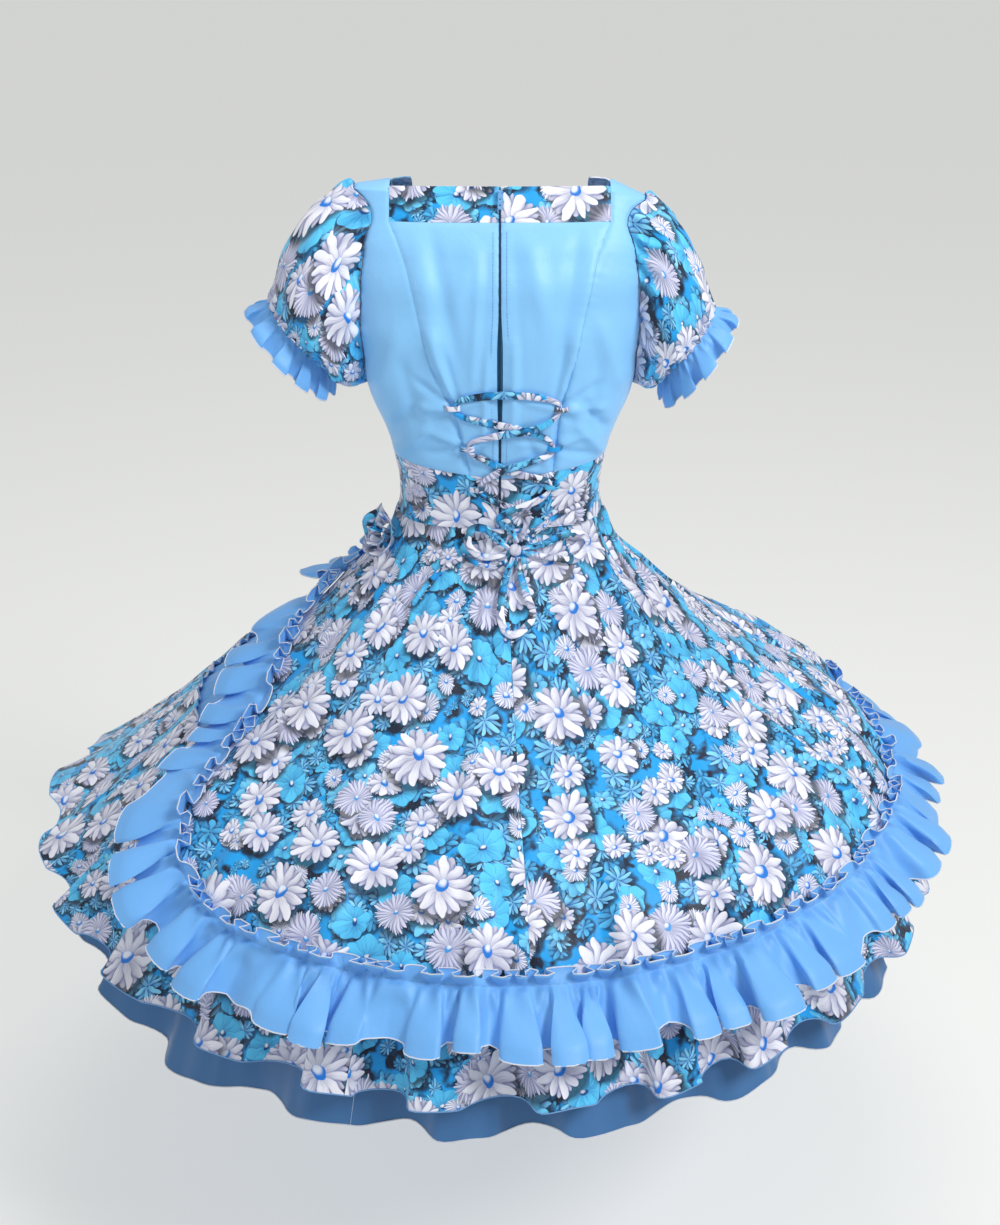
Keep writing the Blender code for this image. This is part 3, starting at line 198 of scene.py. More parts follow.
class Nodes:
    """A short hand for building a node tree."""

    def __init__(self, tree: bpy.types.NodeTree) -> None:
        """Keeps the tree that the calls below add to."""
        self.tree = tree

    def add(self, kind: str, **settings: object) -> bpy.types.Node:
        """A new node of a kind, with its settings."""
        node = self.tree.nodes.new(kind)
        for name, value in settings.items():
            setattr(node, name, value)
        return node

    def feed(self, socket: bpy.types.NodeSocket, value: object) -> None:
        """Links another socket to this one, or sets its value."""
        if isinstance(value, bpy.types.NodeSocket):
            self.tree.links.new(value, socket)
        else:
            socket.default_value = value

    def feed_all(self, sockets: Sequence[bpy.types.NodeSocket], values: Sequence[object]) -> None:
        """Feeds several sockets in order."""
        for socket, value in zip(sockets, values):
            self.feed(socket, value)

    def fill(self, node: bpy.types.Node, values: dict[str, object]) -> None:
        """Feeds a node's inputs by name."""
        for word, value in values.items():
            self.feed(node.inputs[word], value)

    def bump(self, shader: bpy.types.Node, height: object, strength: float, distance: float) -> None:
        """Feeds a shader's normal with a bump of a height."""
        node = self.add("ShaderNodeBump")
        self.fill(node, {"Height": height, "Strength": strength, "Distance": distance})
        self.feed(shader.inputs["Normal"], node.outputs[0])

    def math(self, operation: str, *values: object) -> bpy.types.NodeSocket:
        """A Math node's result."""
        node = self.add("ShaderNodeMath", operation=operation)
        self.feed_all(node.inputs, values)
        return node.outputs[0]

    plus = partialmethod(math, "ADD")
    less = partialmethod(math, "SUBTRACT")
    times = partialmethod(math, "MULTIPLY")
    over = partialmethod(math, "DIVIDE")
    line = partialmethod(math, "MULTIPLY_ADD")
    size = partialmethod(math, "ABSOLUTE")

    def vector(self, operation: str, *values: object) -> bpy.types.NodeSocket:
        """A Vector Math node's result: a number for a length, or else a vector."""
        node = self.add("ShaderNodeVectorMath", operation=operation)
        self.feed_all(node.inputs, values)
        return node.outputs["Value" if operation in ("LENGTH", "DOT_PRODUCT") else "Vector"]

    def mix(self, share: object, low: object, high: object, blend: str = "MIX") -> bpy.types.NodeSocket:
        """A colour mix."""
        node = self.add("ShaderNodeMix", data_type="RGBA", blend_type=blend)
        self.feed_all((node.inputs[0], node.inputs[6], node.inputs[7]), (share, low, high))
        return node.outputs[2]

    def step(self, value: object, low: object, high: object) -> bpy.types.NodeSocket:
        """A soft step: 0 where a value is at low and 1 where it is at high."""
        node = self.add("ShaderNodeMapRange", interpolation_type="SMOOTHSTEP")
        self.feed_all(node.inputs, (value, low, high))
        return node.outputs[0]

    def noise(self, place: object, scale: float, detail: float = 2.0,
              rough: float = 0.5) -> bpy.types.NodeSocket:
        """A noise texture's number."""
        node = self.add("ShaderNodeTexNoise")
        self.fill(node, {"Vector": place, "Scale": scale, "Detail": detail, "Roughness": rough})
        return node.outputs["Fac"]

    def scaled(self, place: object, by: tuple[float, float, float]) -> bpy.types.NodeSocket:
        """A place multiplied along each axis."""
        return self.vector("MULTIPLY", place, by)


def new_group(name: str, vectors: Sequence[str], numbers: Sequence[str],
              gives: Sequence[str]) -> tuple[Nodes, dict]:
    """A new shader group with named sockets.

    Args:
        name: the group's name.
        vectors: the name of each vector input.
        numbers: the name of each number input, after the vectors.
        gives: the name of each output, all numbers.

    Returns:
        Its node builder, and a dict with the input sockets by name and the output node under "out".
    """
    tree = bpy.data.node_groups.new(name, "ShaderNodeTree")
    for word in vectors:
        tree.interface.new_socket(word, in_out="INPUT", socket_type="NodeSocketVector")
    for words, way in ((numbers, "INPUT"), (gives, "OUTPUT")):
        for word in words:
            tree.interface.new_socket(word, in_out=way, socket_type="NodeSocketFloat")
    nodes = Nodes(tree)
    given = nodes.add("NodeGroupInput")
    sockets = {word: given.outputs[word] for word in (*vectors, *numbers)}
    sockets["out"] = nodes.add("NodeGroupOutput")
    return nodes, sockets


FLOWER_INPUTS = ("Spacing", "Radius", "Petals", "Fullness", "Point", "Eye", "Veins", "Chance")


def blossom_group() -> bpy.types.NodeTree:
    """One layer of scattered daisies.

    A cell pattern gives each flower its middle and a few random numbers. Within a flower, the angle round
    its middle is cut into petals: a place lies on a petal where its distance across the petal, against the
    petal's width at that radius (radius to the power 0.62, rounded off at the tip), is below 1. A second ring
    of petals lies half a petal round and below the first.
    """
    n, s = new_group("scattered_daisies", ("Place", "Seed"), FLOWER_INPUTS,
                     ("Mask", "Shade", "Eye mask", "Eye shade", "Shadow"))
    scale = n.over(1.0, s["Spacing"])
    place = n.vector("ADD", s["Place"], s["Seed"])
    cells = n.add("ShaderNodeTexVoronoi", voronoi_dimensions="2D", feature="F1")
    room = n.add("ShaderNodeTexVoronoi", voronoi_dimensions="2D", feature="N_SPHERE_RADIUS")
    for cell in (cells, room):
        n.fill(cell, {"Vector": place, "Scale": scale, "Randomness": 0.82})
    split = n.add("ShaderNodeSeparateColor")
    n.feed(split.inputs[0], cells.outputs["Color"])
    red, green, blue = split.outputs
    fit = n.times(n.times(room.outputs["Radius"], s["Spacing"]), 1.16)
    radius = n.math("MINIMUM", n.times(s["Radius"], n.line(green, 0.35, 0.80)), fit)
    local = n.vector("SUBTRACT", place, cells.outputs["Position"])
    flat = n.add("ShaderNodeSeparateXYZ")
    n.feed(flat.inputs[0], local)
    away = n.over(n.vector("LENGTH", local), radius)
    start = n.times(red, 2 * pi)
    turn = n.plus(n.math("ARCTAN2", flat.outputs[1], flat.outputs[0]), start)
    per = n.over(s["Petals"], 2 * pi)

    def ring(offset: float, reach: float) -> tuple[bpy.types.NodeSocket, ...]:
        """One ring of petals: its mask, the signed distance across each petal and the petal's own number."""
        at = n.plus(n.line(turn, per, offset), 64.0)
        number = n.math("FLOOR", at)
        across = n.less(n.math("FRACT", at), 0.5)
        own = n.add("ShaderNodeTexWhiteNoise", noise_dimensions="2D")
        pair = n.add("ShaderNodeCombineXYZ")
        n.feed_all(pair.inputs, (number, blue))
        n.feed(own.inputs["Vector"], pair.outputs[0])
        size = n.line(own.outputs["Value"], 0.16, reach - 0.12)
        out = n.over(away, size)
        body = n.math("POWER", n.math("MAXIMUM", out, 0.001), 0.62)
        tip = n.less(1.0, n.math("POWER", n.math("MINIMUM", out, 1.0), s["Point"]))
        wide = n.times(n.times(body, n.math("SQRT", tip)), s["Fullness"])
        signed = n.over(n.times(n.times(across, 2.0), out), n.math("MAXIMUM", wide, 0.001))
        return n.step(n.size(signed), 1.06, 0.94), signed, own.outputs["Value"]

    def away_from(spot: tuple[float, float, float]) -> bpy.types.NodeSocket:
        """The distance from a spot, both in shares of the flower's radius."""
        moved = n.vector("MULTIPLY", spot, radius_vector(n, radius))
        return n.over(n.vector("LENGTH", n.vector("SUBTRACT", local, moved)), radius)

    top, signed, own = ring(0.0, 1.0)
    under, under_signed, _ = ring(0.5, 0.94)
    lit = n.math("SINE", n.plus(n.less(turn, start), 0.9))
    slope = n.times(n.times(signed, lit), 0.26)
    groove = n.size(n.math("SINE", n.times(signed, 5.2)))
    vein = n.times(n.step(groove, 0.30, 0.0), n.times(s["Veins"], n.step(away, 1.0, 0.25)))
    base = n.step(away, 0.10, 0.62)
    tone = n.line(base, 0.34, 0.58)
    tone = n.plus(n.plus(tone, slope), n.line(own, 0.30, -0.17))
    rim = n.step(n.size(signed), 0.62, 1.0)
    tone = n.less(n.less(tone, n.times(rim, 0.26)), vein)
    low_rim = n.step(n.size(under_signed), 0.5, 1.0)
    contact = n.step(n.size(signed), 1.9, 1.0)
    low_tone = n.less(n.line(base, 0.36, 0.20), n.times(low_rim, 0.22))
    low_tone = n.less(low_tone, n.times(contact, 0.34))
    shade = n.plus(n.times(tone, top), n.times(low_tone, n.less(1.0, top)))
    eye = n.step(away, n.times(s["Eye"], 1.06), n.times(s["Eye"], 0.94))
    dome = n.step(away_from((-0.05, 0.07, 0.0)), n.times(s["Eye"], 0.90), n.times(s["Eye"], 0.30))
    shadow = n.step(away_from((0.16, -0.20, 0.0)), 1.10, 0.78)
    grown = n.math("LESS_THAN", n.math("FRACT", n.line(green, 7.0, blue)), s["Chance"])
    mask = n.times(n.math("MAXIMUM", n.math("MAXIMUM", top, under), eye), grown)
    n.fill(s["out"], {"Mask": mask, "Shade": shade, "Eye mask": eye, "Eye shade": dome,
                      "Shadow": n.times(shadow, grown)})
    return n.tree


def radius_vector(n: Nodes, radius: bpy.types.NodeSocket) -> bpy.types.NodeSocket:
    """A number as a vector with that number on each axis."""
    node = n.add("ShaderNodeCombineXYZ")
    n.feed_all(node.inputs, (radius,) * 3)
    return node.outputs[0]


def satin_group() -> bpy.types.NodeTree:
    """The satin's own surface: fine twill ribs, slubs along the warp and small handling wrinkles."""
    n, s = new_group("satin_surface", ("Place",), ("Wrinkle",), ("Height", "Roughness shift", "Tone"))
    parts = n.add("ShaderNodeSeparateXYZ")
    n.feed(parts.inputs[0], s["Place"])
    slant = n.plus(parts.outputs[0], n.times(parts.outputs[1], 0.6))
    rib = n.math("SINE", n.times(slant, 9000.0))
    slub = n.noise(n.scaled(s["Place"], (900.0, 60.0, 1.0)), 1.0, 3.0)
    crumple = n.noise(n.scaled(s["Place"], (38.0, 26.0, 1.0)), 1.0, 3.0, 0.55)
    height = n.plus(n.times(rib, 0.00002), n.times(slub, 0.00006))
    height = n.plus(height, n.times(n.times(crumple, s["Wrinkle"]), 0.0022))
    cloud = n.noise(n.scaled(s["Place"], (9.0, 6.0, 1.0)), 1.0, 2.0)
    n.fill(s["out"], {"Height": height, "Roughness shift": n.line(slub, 0.16, -0.08),
                      "Tone": n.line(cloud, 0.16, 0.92)})
    return n.tree


class Weave(Enum):
    """Which dye a cloth has."""

    PLAIN = "plain"
    FLOWERS = "flowers"


Colour = tuple[float, float, float, float]


def colour(red: float, green: float, blue: float) -> Colour:
    """A screen colour of 0 to 255 as linear light."""
    given = np.array([red, green, blue]) / 255
    low = given / 12.92
    high = ((given + 0.055) / 1.055) ** 2.4
    return (*[float(x) for x in np.where(given < 0.04045, low, high)], 1.0)


def new_material(name: str) -> tuple[bpy.types.Material, Nodes, bpy.types.Node]:
    """A new material, its node builder and its Principled BSDF."""
    made = bpy.data.materials.new(name)
    made.use_nodes = True
    return made, Nodes(made.node_tree), made.node_tree.nodes["Principled BSDF"]


@dataclass(frozen=True)
class Petalled:
    """A kind of flower in the print.

    The sizes are metres; fullness is how much of its sector a petal fills, point how blunt its tip is and
    chance how many of the places have a flower.
    """

    spacing: float
    radius: float
    petals: float
    fullness: float
    point: float
    eye: float
    veins: float
    chance: float
    dark: tuple[float, float, float]
    light: tuple[float, float, float]
    ring: tuple[float, float, float]
    seed: tuple[float, float]


PRINT = table(Petalled, (
    (0.031, 0.020, 5.0, 0.50, 2.6, 0.05, 0.10, 0.95,
     (4, 74, 136), (84, 190, 244), (8, 64, 126), (1.37, 4.11)),
    (0.035, 0.021, 6.0, 0.46, 2.2, 0.05, 0.20, 0.90,
     (2, 84, 164), (136, 218, 255), (8, 64, 126), (6.71, 3.31)),
    (0.052, 0.017, 7.0, 0.90, 4.0, 0.22, 0.30, 0.66,
     (4, 104, 178), (116, 212, 250), (4, 66, 130), (3.19, 8.47)),
    (0.062, 0.025, 8.0, 1.22, 7.0, 0.17, 0.60, 0.90,
     (2, 92, 168), (90, 206, 254), (4, 72, 140), (7.77, 2.63)),
    (0.060, 0.016, 18.0, 0.70, 2.6, 0.24, 0.20, 0.56,
     (84, 98, 160), (236, 240, 254), (30, 132, 222), (9.53, 6.29)),
    (0.070, 0.024, 9.0, 0.80, 2.4, 0.21, 0.36, 0.66,
     (78, 90, 152), (240, 242, 254), (24, 126, 220), (5.81, 9.97)),
    (0.084, 0.027, 21.0, 0.74, 2.6, 0.14, 0.30, 0.60,
     (92, 98, 158), (226, 228, 248), (70, 154, 226), (4.43, 7.19)),
    (0.094, 0.036, 10.0, 0.80, 2.3, 0.20, 0.40, 0.84,
     (84, 92, 152), (244, 245, 255), (20, 120, 216), (2.23, 5.39)),
))


@dataclass(frozen=True)
class SatinFinish:
    """A satin cloth's finish: its slot in the record, dye, gloss and wrinkles."""

    name: str
    slot: str
    weave: Weave
    base: Colour
    roughness: float
    wrinkle: float

    def material(self, groups: dict[str, bpy.types.NodeTree]) -> bpy.types.Material:
        """Builds the material from the shared groups.

        Args:
            groups: the shader groups by name.

        Returns:
            The material.
        """
        made, n, shader = new_material(self.name)
        place = n.add("ShaderNodeUVMap", uv_map="cut").outputs[0]
        surface = n.add("ShaderNodeGroup", node_tree=groups["satin"])
        n.fill(surface, {"Place": place, "Wrinkle": self.wrinkle})
        dye: object = self.base
        if self.weave is Weave.FLOWERS:
            dye = self.flowers(n, place, groups["blossom"])
            reverse = n.add("ShaderNodeAttribute", attribute_name="reverse")
            pale = n.mix(0.55, dye, colour(176, 206, 232))
            dye = n.mix(reverse.outputs["Fac"], dye, pale)
        tone = n.add("ShaderNodeCombineColor")
        n.feed_all(tone.inputs, (surface.outputs["Tone"],) * 3)
        n.fill(shader, {"Base Color": n.mix(1.0, dye, tone.outputs[0], "MULTIPLY"),
                        "Roughness": n.plus(surface.outputs["Roughness shift"], self.roughness),
                        "Specular IOR Level": 0.38, "Sheen Weight": 0.22, "Sheen Roughness": 0.45})
        n.bump(shader, surface.outputs["Height"], 0.55, 1.0)
        return made

    @staticmethod
    def flowers(n: Nodes, place: bpy.types.NodeSocket, blossom: bpy.types.NodeTree) -> bpy.types.NodeSocket:
        """The print's colour: an azure and navy ground, each kind of flower laid over the ones before it.

        The places are moved about by a slow noise first, so no two flowers have the same shape.
        """
        wobble = n.add("ShaderNodeTexNoise")
        n.fill(wobble, {"Vector": place, "Scale": 30.0})
        shift = n.vector("SUBTRACT", wobble.outputs["Color"], (0.5, 0.5, 0.5))
        place = n.vector("ADD", place, n.vector("MULTIPLY", shift, (0.020, 0.020, 0.0)))
        patch = n.step(n.noise(n.scaled(place, (40.0, 40.0, 1.0)), 1.0, 2.0), 0.38, 0.52)
        ground = n.mix(patch, colour(4, 26, 54), colour(20, 162, 238))
        for kind in PRINT:
            layer = n.add("ShaderNodeGroup", node_tree=blossom)
            n.fill(layer, {"Place": place, "Seed": (*kind.seed, 0.0)})
            n.fill(layer, {word: getattr(kind, word.lower()) for word in FLOWER_INPUTS})
            out = layer.outputs
            dim = n.mix(n.times(out["Shadow"], 0.80), ground, colour(3, 16, 40))
            petal = n.mix(out["Shade"], colour(*kind.dark), colour(*kind.light))
            eye = n.mix(out["Eye shade"], colour(*kind.ring), colour(232, 240, 252))
            flower = n.mix(out["Eye mask"], petal, eye)
            ground = n.mix(out["Mask"], dim, flower)
        return ground


@dataclass(frozen=True)
class ThreadFinish:
    """A thread's or yarn's finish: its slot in the record, its colour, gloss and the pitch of its twist."""

    name: str
    slot: str
    base: Colour
    roughness: float
    pitch: float

    def material(self, _groups: dict[str, bpy.types.NodeTree]) -> bpy.types.Material:
        """Builds the material: wound yarn with slanted strands, and painted shade between them."""
        made, n, shader = new_material(self.name)
        place = n.add("ShaderNodeTexCoord").outputs["Object"]
        strands = n.add("ShaderNodeTexWave", wave_type="BANDS", bands_direction="DIAGONAL")
        n.fill(strands, {"Vector": place, "Scale": 1 / self.pitch, "Distortion": 1.5})
        strand = strands.outputs["Fac"]
        # Painted shade in the grooves between the strands: the yarn's colour darkened to 0.72.
        dark = tuple(0.72 * x for x in self.base[:3]) + (1.0,)
        n.fill(shader, {"Base Color": n.mix(strand, dark, self.base),
                        "Roughness": n.line(strand, -0.12, self.roughness)})
        n.bump(shader, strand, 0.5, 0.0003)
        return made


@dataclass(frozen=True)
class EnamelFinish:
    """Painted metal: a smooth coat with fine specks and slightly rubbed gloss."""

    name: str
    base: Colour

    def material(self, _groups: dict[str, bpy.types.NodeTree]) -> bpy.types.Material:
        """Builds the material."""
        made, n, shader = new_material(self.name)
        place = n.add("ShaderNodeTexCoord").outputs["Object"]
        rub = n.noise(place, 700.0, 3.0)
        worn = tuple(min(1.0, 1.25 * x + 0.05) for x in self.base[:3]) + (1.0,)
        n.fill(shader, {"Base Color": n.mix(n.step(rub, 0.62, 0.75), self.base, worn),
                        "Roughness": n.line(rub, 0.25, 0.22), "Metallic": 0.35})
        return made


# The bodice's sky satin is a lighter copy of the ruffle's: painted light on the better lit bodice.
LIT_BODICE_SATIN = SatinFinish("sky_satin_bodice_painted_light", "sky_satin", Weave.PLAIN, colour(138, 202, 252), 0.42, 0.80)
RUFFLE_SATIN = SatinFinish("sky_satin_ruffle", "sky_satin", Weave.PLAIN, colour(112, 178, 242), 0.44, 0.70)
UNDER_SATIN = SatinFinish("sky_satin_underskirt", "sky_satin", Weave.PLAIN, colour(112, 176, 240), 0.44, 0.80)
# The low flounce's blue is darkened: painted shade from the flowered flounce hanging over it.
SHADED_LOW_SATIN = SatinFinish("sky_satin_low_flounce_painted_shade", "sky_lining_satin", Weave.PLAIN, colour(66, 116, 170),
                        0.48, 0.60)
FLOWERED = SatinFinish("flowered_satin", "flowered_satin", Weave.FLOWERS, colour(92, 162, 214), 0.50, 0.70)
TAPE = ThreadFinish("zip_tape_weave", "zip_tape_weave", colour(22, 104, 142), 0.8, 0.0012)
COIL = ThreadFinish("zip_coil_nylon", "zip_tape_weave", colour(20, 44, 84), 0.45, 0.0016)
SERGING = ThreadFinish("white_serging_thread", "sky_satin", colour(238, 242, 250), 0.8, 0.0020)
STITCHING = ThreadFinish("blue_sewing_thread", "sky_satin", colour(132, 186, 240), 0.75, 0.0009)
ENAMEL = EnamelFinish("zip_enamel", colour(120, 180, 236))


# Cloth


class Workroom:
    """Makes pieces and gives them their finish and body."""

    def __init__(self) -> None:
        """Builds the shared shader groups."""
        self.groups = {"blossom": blossom_group(), "satin": satin_group()}
        self.materials: dict[str, bpy.types.Material] = {}

    def finish(self, kind: SatinFinish | ThreadFinish | EnamelFinish) -> bpy.types.Material:
        """The material of a finish, made once."""
        if kind.name not in self.materials:
            self.materials[kind.name] = kind.material(self.groups)
        return self.materials[kind.name]

    def piece(self, name: str, points: Array, faces: Array, kind: SatinFinish | ThreadFinish,
              uv: Array | None = None, reverse: Array | None = None,
              slot: str | None = None) -> bpy.types.Object:
        """A new piece that rides on the dress.

        Args:
            name: the piece's name.
            points: its points, one row each.
            faces: its faces, all with the same number of corners.
            kind: its finish.
            uv: a flat place for each point, in metres of cut cloth.
            reverse: 1 at each point on the cloth's wrong side.
            slot: the record's material slot, where it isn't its finish's own; not used.

        Returns:
            The object.
        """
        mesh = bpy.data.meshes.new(name)
        corners = faces.shape[1]
        mesh.vertices.add(len(points))
        mesh.vertices.foreach_set("co", np.ascontiguousarray(points, np.float32).ravel())
        mesh.loops.add(faces.size)
        mesh.loops.foreach_set("vertex_index", np.ascontiguousarray(faces, np.int32).ravel())
        mesh.polygons.add(len(faces))
        mesh.polygons.foreach_set("loop_start", np.arange(0, faces.size, corners, dtype=np.int32))
        mesh.update(calc_edges=True)
        if uv is not None:
            layer = mesh.uv_layers.new(name="cut")
            layer.data.foreach_set("uv", np.ascontiguousarray(uv[faces.ravel()], np.float32).ravel())
        if reverse is not None:
            mark = mesh.attributes.new("reverse", "FLOAT", "POINT")
            mark.data.foreach_set("value", np.ascontiguousarray(reverse, np.float32))
        mesh.materials.append(self.finish(kind))
        mesh.shade_smooth()
        mesh.set_sharp_from_angle(angle=radians(60))
        thing = bpy.data.objects.new(name, mesh)
        bpy.context.collection.objects.link(thing)
        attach(thing, BODY)
        return thing

    def cloth(self, name: str, grid: Array, uv: Array, kind: SatinFinish | ThreadFinish, around: bool = False,
              normals: Array | None = None, thickness: float = SHELL, faded: bool = True) -> bpy.types.Object:
        """A closed thin shell: the grid, the same grid moved in, and a rim on each free edge.

        Args:
            name: the piece's name.
            grid: rows down the cloth and columns from left to right as seen from outside.
            uv: a flat place for each grid point, in metres.
            kind: its finish.
            around: True where the last column joins the first; then the grid repeats its first column last.
            normals: outward directions, if they are known.
            thickness: the cloth's thickness.
            faded: whether the print is paler on the wrong side.

        Returns:
            The object.
        """
        if normals is None:
            normals = ring_facing(grid) if around else facing(grid)
        rows, columns = grid.shape[:2]
        points = np.concatenate([grid.reshape(-1, 3), (grid - normals * thickness).reshape(-1, 3)])
        flat = np.concatenate([uv.reshape(-1, 2)] * 2)
        inside = rows * columns
        number = np.arange(inside).reshape(rows, columns)
        a, b, c, d = number[:-1, :-1], number[:-1, 1:], number[1:, 1:], number[1:, :-1]
        outer = np.stack([a, d, c, b], -1).reshape(-1, 4)
        faces = [outer, outer[:, ::-1] + inside]
        rims = [(number[0, :-1], number[0, 1:]), (number[-1, 1:], number[-1, :-1])]
        if not around:
            rims += [(number[1:, 0], number[:-1, 0]), (number[:-1, -1], number[1:, -1])]
        faces += [np.stack([start, end, end + inside, start + inside], -1) for start, end in rims]
        all_faces = np.concatenate(faces)
        if around:
            place = np.arange(2 * inside)
            seam = np.concatenate([number[:, -1], number[:, -1] + inside])
            place[seam] = np.concatenate([number[:, 0], number[:, 0] + inside])
            return self.joined_ring(name, points, all_faces, place, flat, kind, inside)
        reverse = np.repeat([0.0, 1.0 if faded else 0.0], inside)
        return self.piece(name, points, all_faces, kind, flat, reverse)

    def sewn(self, node: str, grid: Array, uv: Array, kind: SatinFinish | ThreadFinish, held: str,
             flat: tuple[float, float] | None = None, whole: Array | None = None, **looks: object) -> None:
        """A piece of cloth that stands for a node, whose CAD solid it hides.

        Args:
            node: the CAD node that it stands for.
            grid: its grid of points.
            uv: a flat place for each grid point, in metres.
            kind: its finish.
            held: how the cloth is held; not used.
            flat: width and length of its cut, where they aren't its size with its waves pulled flat; not
                used.
            whole: its grid before its seams were drawn in; not used.
            looks: anything else that cloth takes.
        """
        thing = self.cloth(node + "_cloth", grid, uv, kind, **looks)
        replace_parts(thing, node)

    def joined_ring(self, name: str, points: Array, faces: Array, place: Array, flat: Array,
                    kind: SatinFinish | ThreadFinish, inside: int) -> bpy.types.Object:
        """A ring of cloth, its last column welded to its first and the flat places kept at each corner."""
        kept = np.unique(place)
        renumber = np.zeros(len(place), int)
        renumber[kept] = np.arange(len(kept))
        welded = renumber[place][faces]
        reverse = (kept >= inside).astype(float)
        thing = self.piece(name, points[kept], welded, kind, flat[kept], reverse)
        layer = thing.data.uv_layers["cut"]
        layer.data.foreach_set("uv", np.ascontiguousarray(flat[faces.ravel()], np.float32).ravel())
        return thing

    def tube(self, name: str, lines: Sequence[Array], radius: float, kind: ThreadFinish, sides: int = 5,
             slot: str | None = None) -> bpy.types.Object:
        """Round threads along several lines of points, with closed ends."""
        points, faces, start = [], [], 0
        for line in lines:
            along = unit(np.gradient(line, axis=0))
            across = unit(np.cross(along, np.array([0.31, 0.17, 0.93])))
            up = np.cross(across, along)
            turn = (np.arange(sides) * 2 * pi / sides)[None, :, None]
            ring = line[:, None] + radius * (np.cos(turn) * across[:, None] + np.sin(turn) * up[:, None])
            count = len(line)
            number = start + np.arange(count * sides).reshape(count, sides)
            nxt = np.roll(number, -1, axis=1)
            faces.append(np.stack([number[:-1], nxt[:-1], nxt[1:], number[1:]], -1).reshape(-1, 4))
            ends = np.array([[start + count * sides] * sides, [start + count * sides + 1] * sides])
            faces.append(np.stack([number[0], ends[0], ends[0], nxt[0]], -1))
            faces.append(np.stack([nxt[-1], ends[1], ends[1], number[-1]], -1))
            points += [ring.reshape(-1, 3), line[:1], line[-1:]]
            start += count * sides + 2
        quads = np.concatenate(faces)
        flat = quads[:, 1] == quads[:, 2]
        triangles = np.concatenate([
            quads[~flat][:, [0, 1, 2]], quads[~flat][:, [0, 2, 3]], quads[flat][:, [0, 1, 3]],
        ])
        return self.piece(name, np.concatenate(points), triangles[:, ::-1], kind, slot=slot)


def flat_places(grid: Array, shift: tuple[float, float] = (0.0, 0.0)) -> Array:
    """Flat places in metres for a grid: u is each row's walk from its middle, v the walk down."""
    across = walked(grid, axis=1)
    down = walked(grid, axis=0)
    middle = across[:, across.shape[1] // 2][:, None]
    return paired(across - middle + shift[0], shift[1] - down)


def trimmed(grid: Array, top: bool = True, bottom: bool = True, sides: bool = True) -> Array:
    """The grid with its named edges drawn in by half a seam gap."""
    grid = grid.copy()
    half = SEAM_GAP / 2
    if sides:
        grid[:, 0] += unit(grid[:, 1] - grid[:, 0]) * half
        grid[:, -1] += unit(grid[:, -2] - grid[:, -1]) * half
    if top:
        grid[0] += unit(grid[1] - grid[0]) * half
    if bottom:
        grid[-1] += unit(grid[-2] - grid[-1]) * half
    return grid


# Bodice


@dataclass(frozen=True)
class Section:
    """The torso's half width, back depth and front depth at a height."""

    height: float
    half_width: float
    back_depth: float
    front_depth: float


TORSO = table(Section, (
    (-0.415, 0.1355, 0.094, 0.098), (-0.388, 0.1310, 0.090, 0.095), (-0.335, 0.1370, 0.094, 0.105),
    (-0.290, 0.1500, 0.099, 0.116), (-0.243, 0.1680, 0.103, 0.125), (-0.200, 0.1760, 0.104, 0.124),
    (-0.130, 0.1860, 0.098, 0.104), (-0.070, 0.1870, 0.080, 0.076), (-0.030, 0.1840, 0.054, 0.052),
    (0.000, 0.1820, 0.036, 0.036), (0.010, 0.1820, 0.030, 0.030),
))
SEAM_HEIGHTS = (-0.420, -0.393, -0.340, -0.300, -0.256, -0.212, -0.155, -0.105, -0.060, -0.032)
BACK_SEAM_LEFT = (0.022, 0.027, 0.038, 0.046, 0.058, 0.079, 0.095, 0.106, 0.120, 0.133)
RIGHT_HEIGHTS = (-0.420, -0.362, -0.300, -0.252, -0.212, -0.155, -0.105, -0.060, -0.032)
BACK_SEAM_RIGHT = (0.060, 0.065, 0.071, 0.076, 0.086, 0.098, 0.109, 0.121, 0.133)
FRONT_HEIGHTS = (-0.420, -0.340, -0.270, -0.200, -0.150, -0.115)
FRONT_SEAM = (0.052, 0.062, 0.078, 0.096, 0.118, 0.133)
ZIP_HEIGHTS = (-0.370, -0.300, -0.245, -0.180, -0.120, -0.030)
ZIP_OPENING = (0.0009, 0.0012, 0.0030, 0.0034, 0.0011, 0.0009)
ARMHOLE_MIDDLE = -0.120
ARMHOLE_HALF = 0.1235
ARMHOLE_BOTTOM = -0.2435
ARMHOLE_DEPTH = 0.056
NECK_BAND_TOP = 0.006
NECK_BOTTOM = -0.032
FRONT_NECK = -0.115
FRONT_TRIM = -0.088
FRONT_WAIST = -0.327
WAIST_BOTTOM = -0.410
STRAP_INNER = 0.133
TRIM_WIDTH = 0.025
ZIP_HALF = 0.012
Edge = Callable[[Array], Array]


def squared_sine(angle: Array) -> Array:
    """A sine whose circle is a little squarer: 1.05 sin a plus 0.05 sin 3a."""
    return 1.05 * np.sin(angle) + 0.05 * np.sin(3 * angle)


def squared_cosine(angle: Array) -> Array:
    """A cosine whose circle is a little squarer: 1.05 cos a less 0.05 cos 3a."""
    return 1.05 * np.cos(angle) - 0.05 * np.cos(3 * angle)


def torso_size(height: Array) -> list[Array]:
    """The torso's half width, back depth and front depth at a height."""
    heights = [row.height for row in TORSO]
    return [smooth(height, heights, [getattr(row, word) for row in TORSO])
            for word in ("half_width", "back_depth", "front_depth")]


def torso(angle: Array, height: Array) -> Array:
    """A point of the torso, a squared oval: angle 0 is the middle of the back and pi/2 the right side."""
    width, back, front = torso_size(height)
    depth = np.where(np.cos(angle) > 0, back, front)
    return np.stack([width * squared_sine(angle), -depth * squared_cosine(angle), height + 0 * angle], -1)


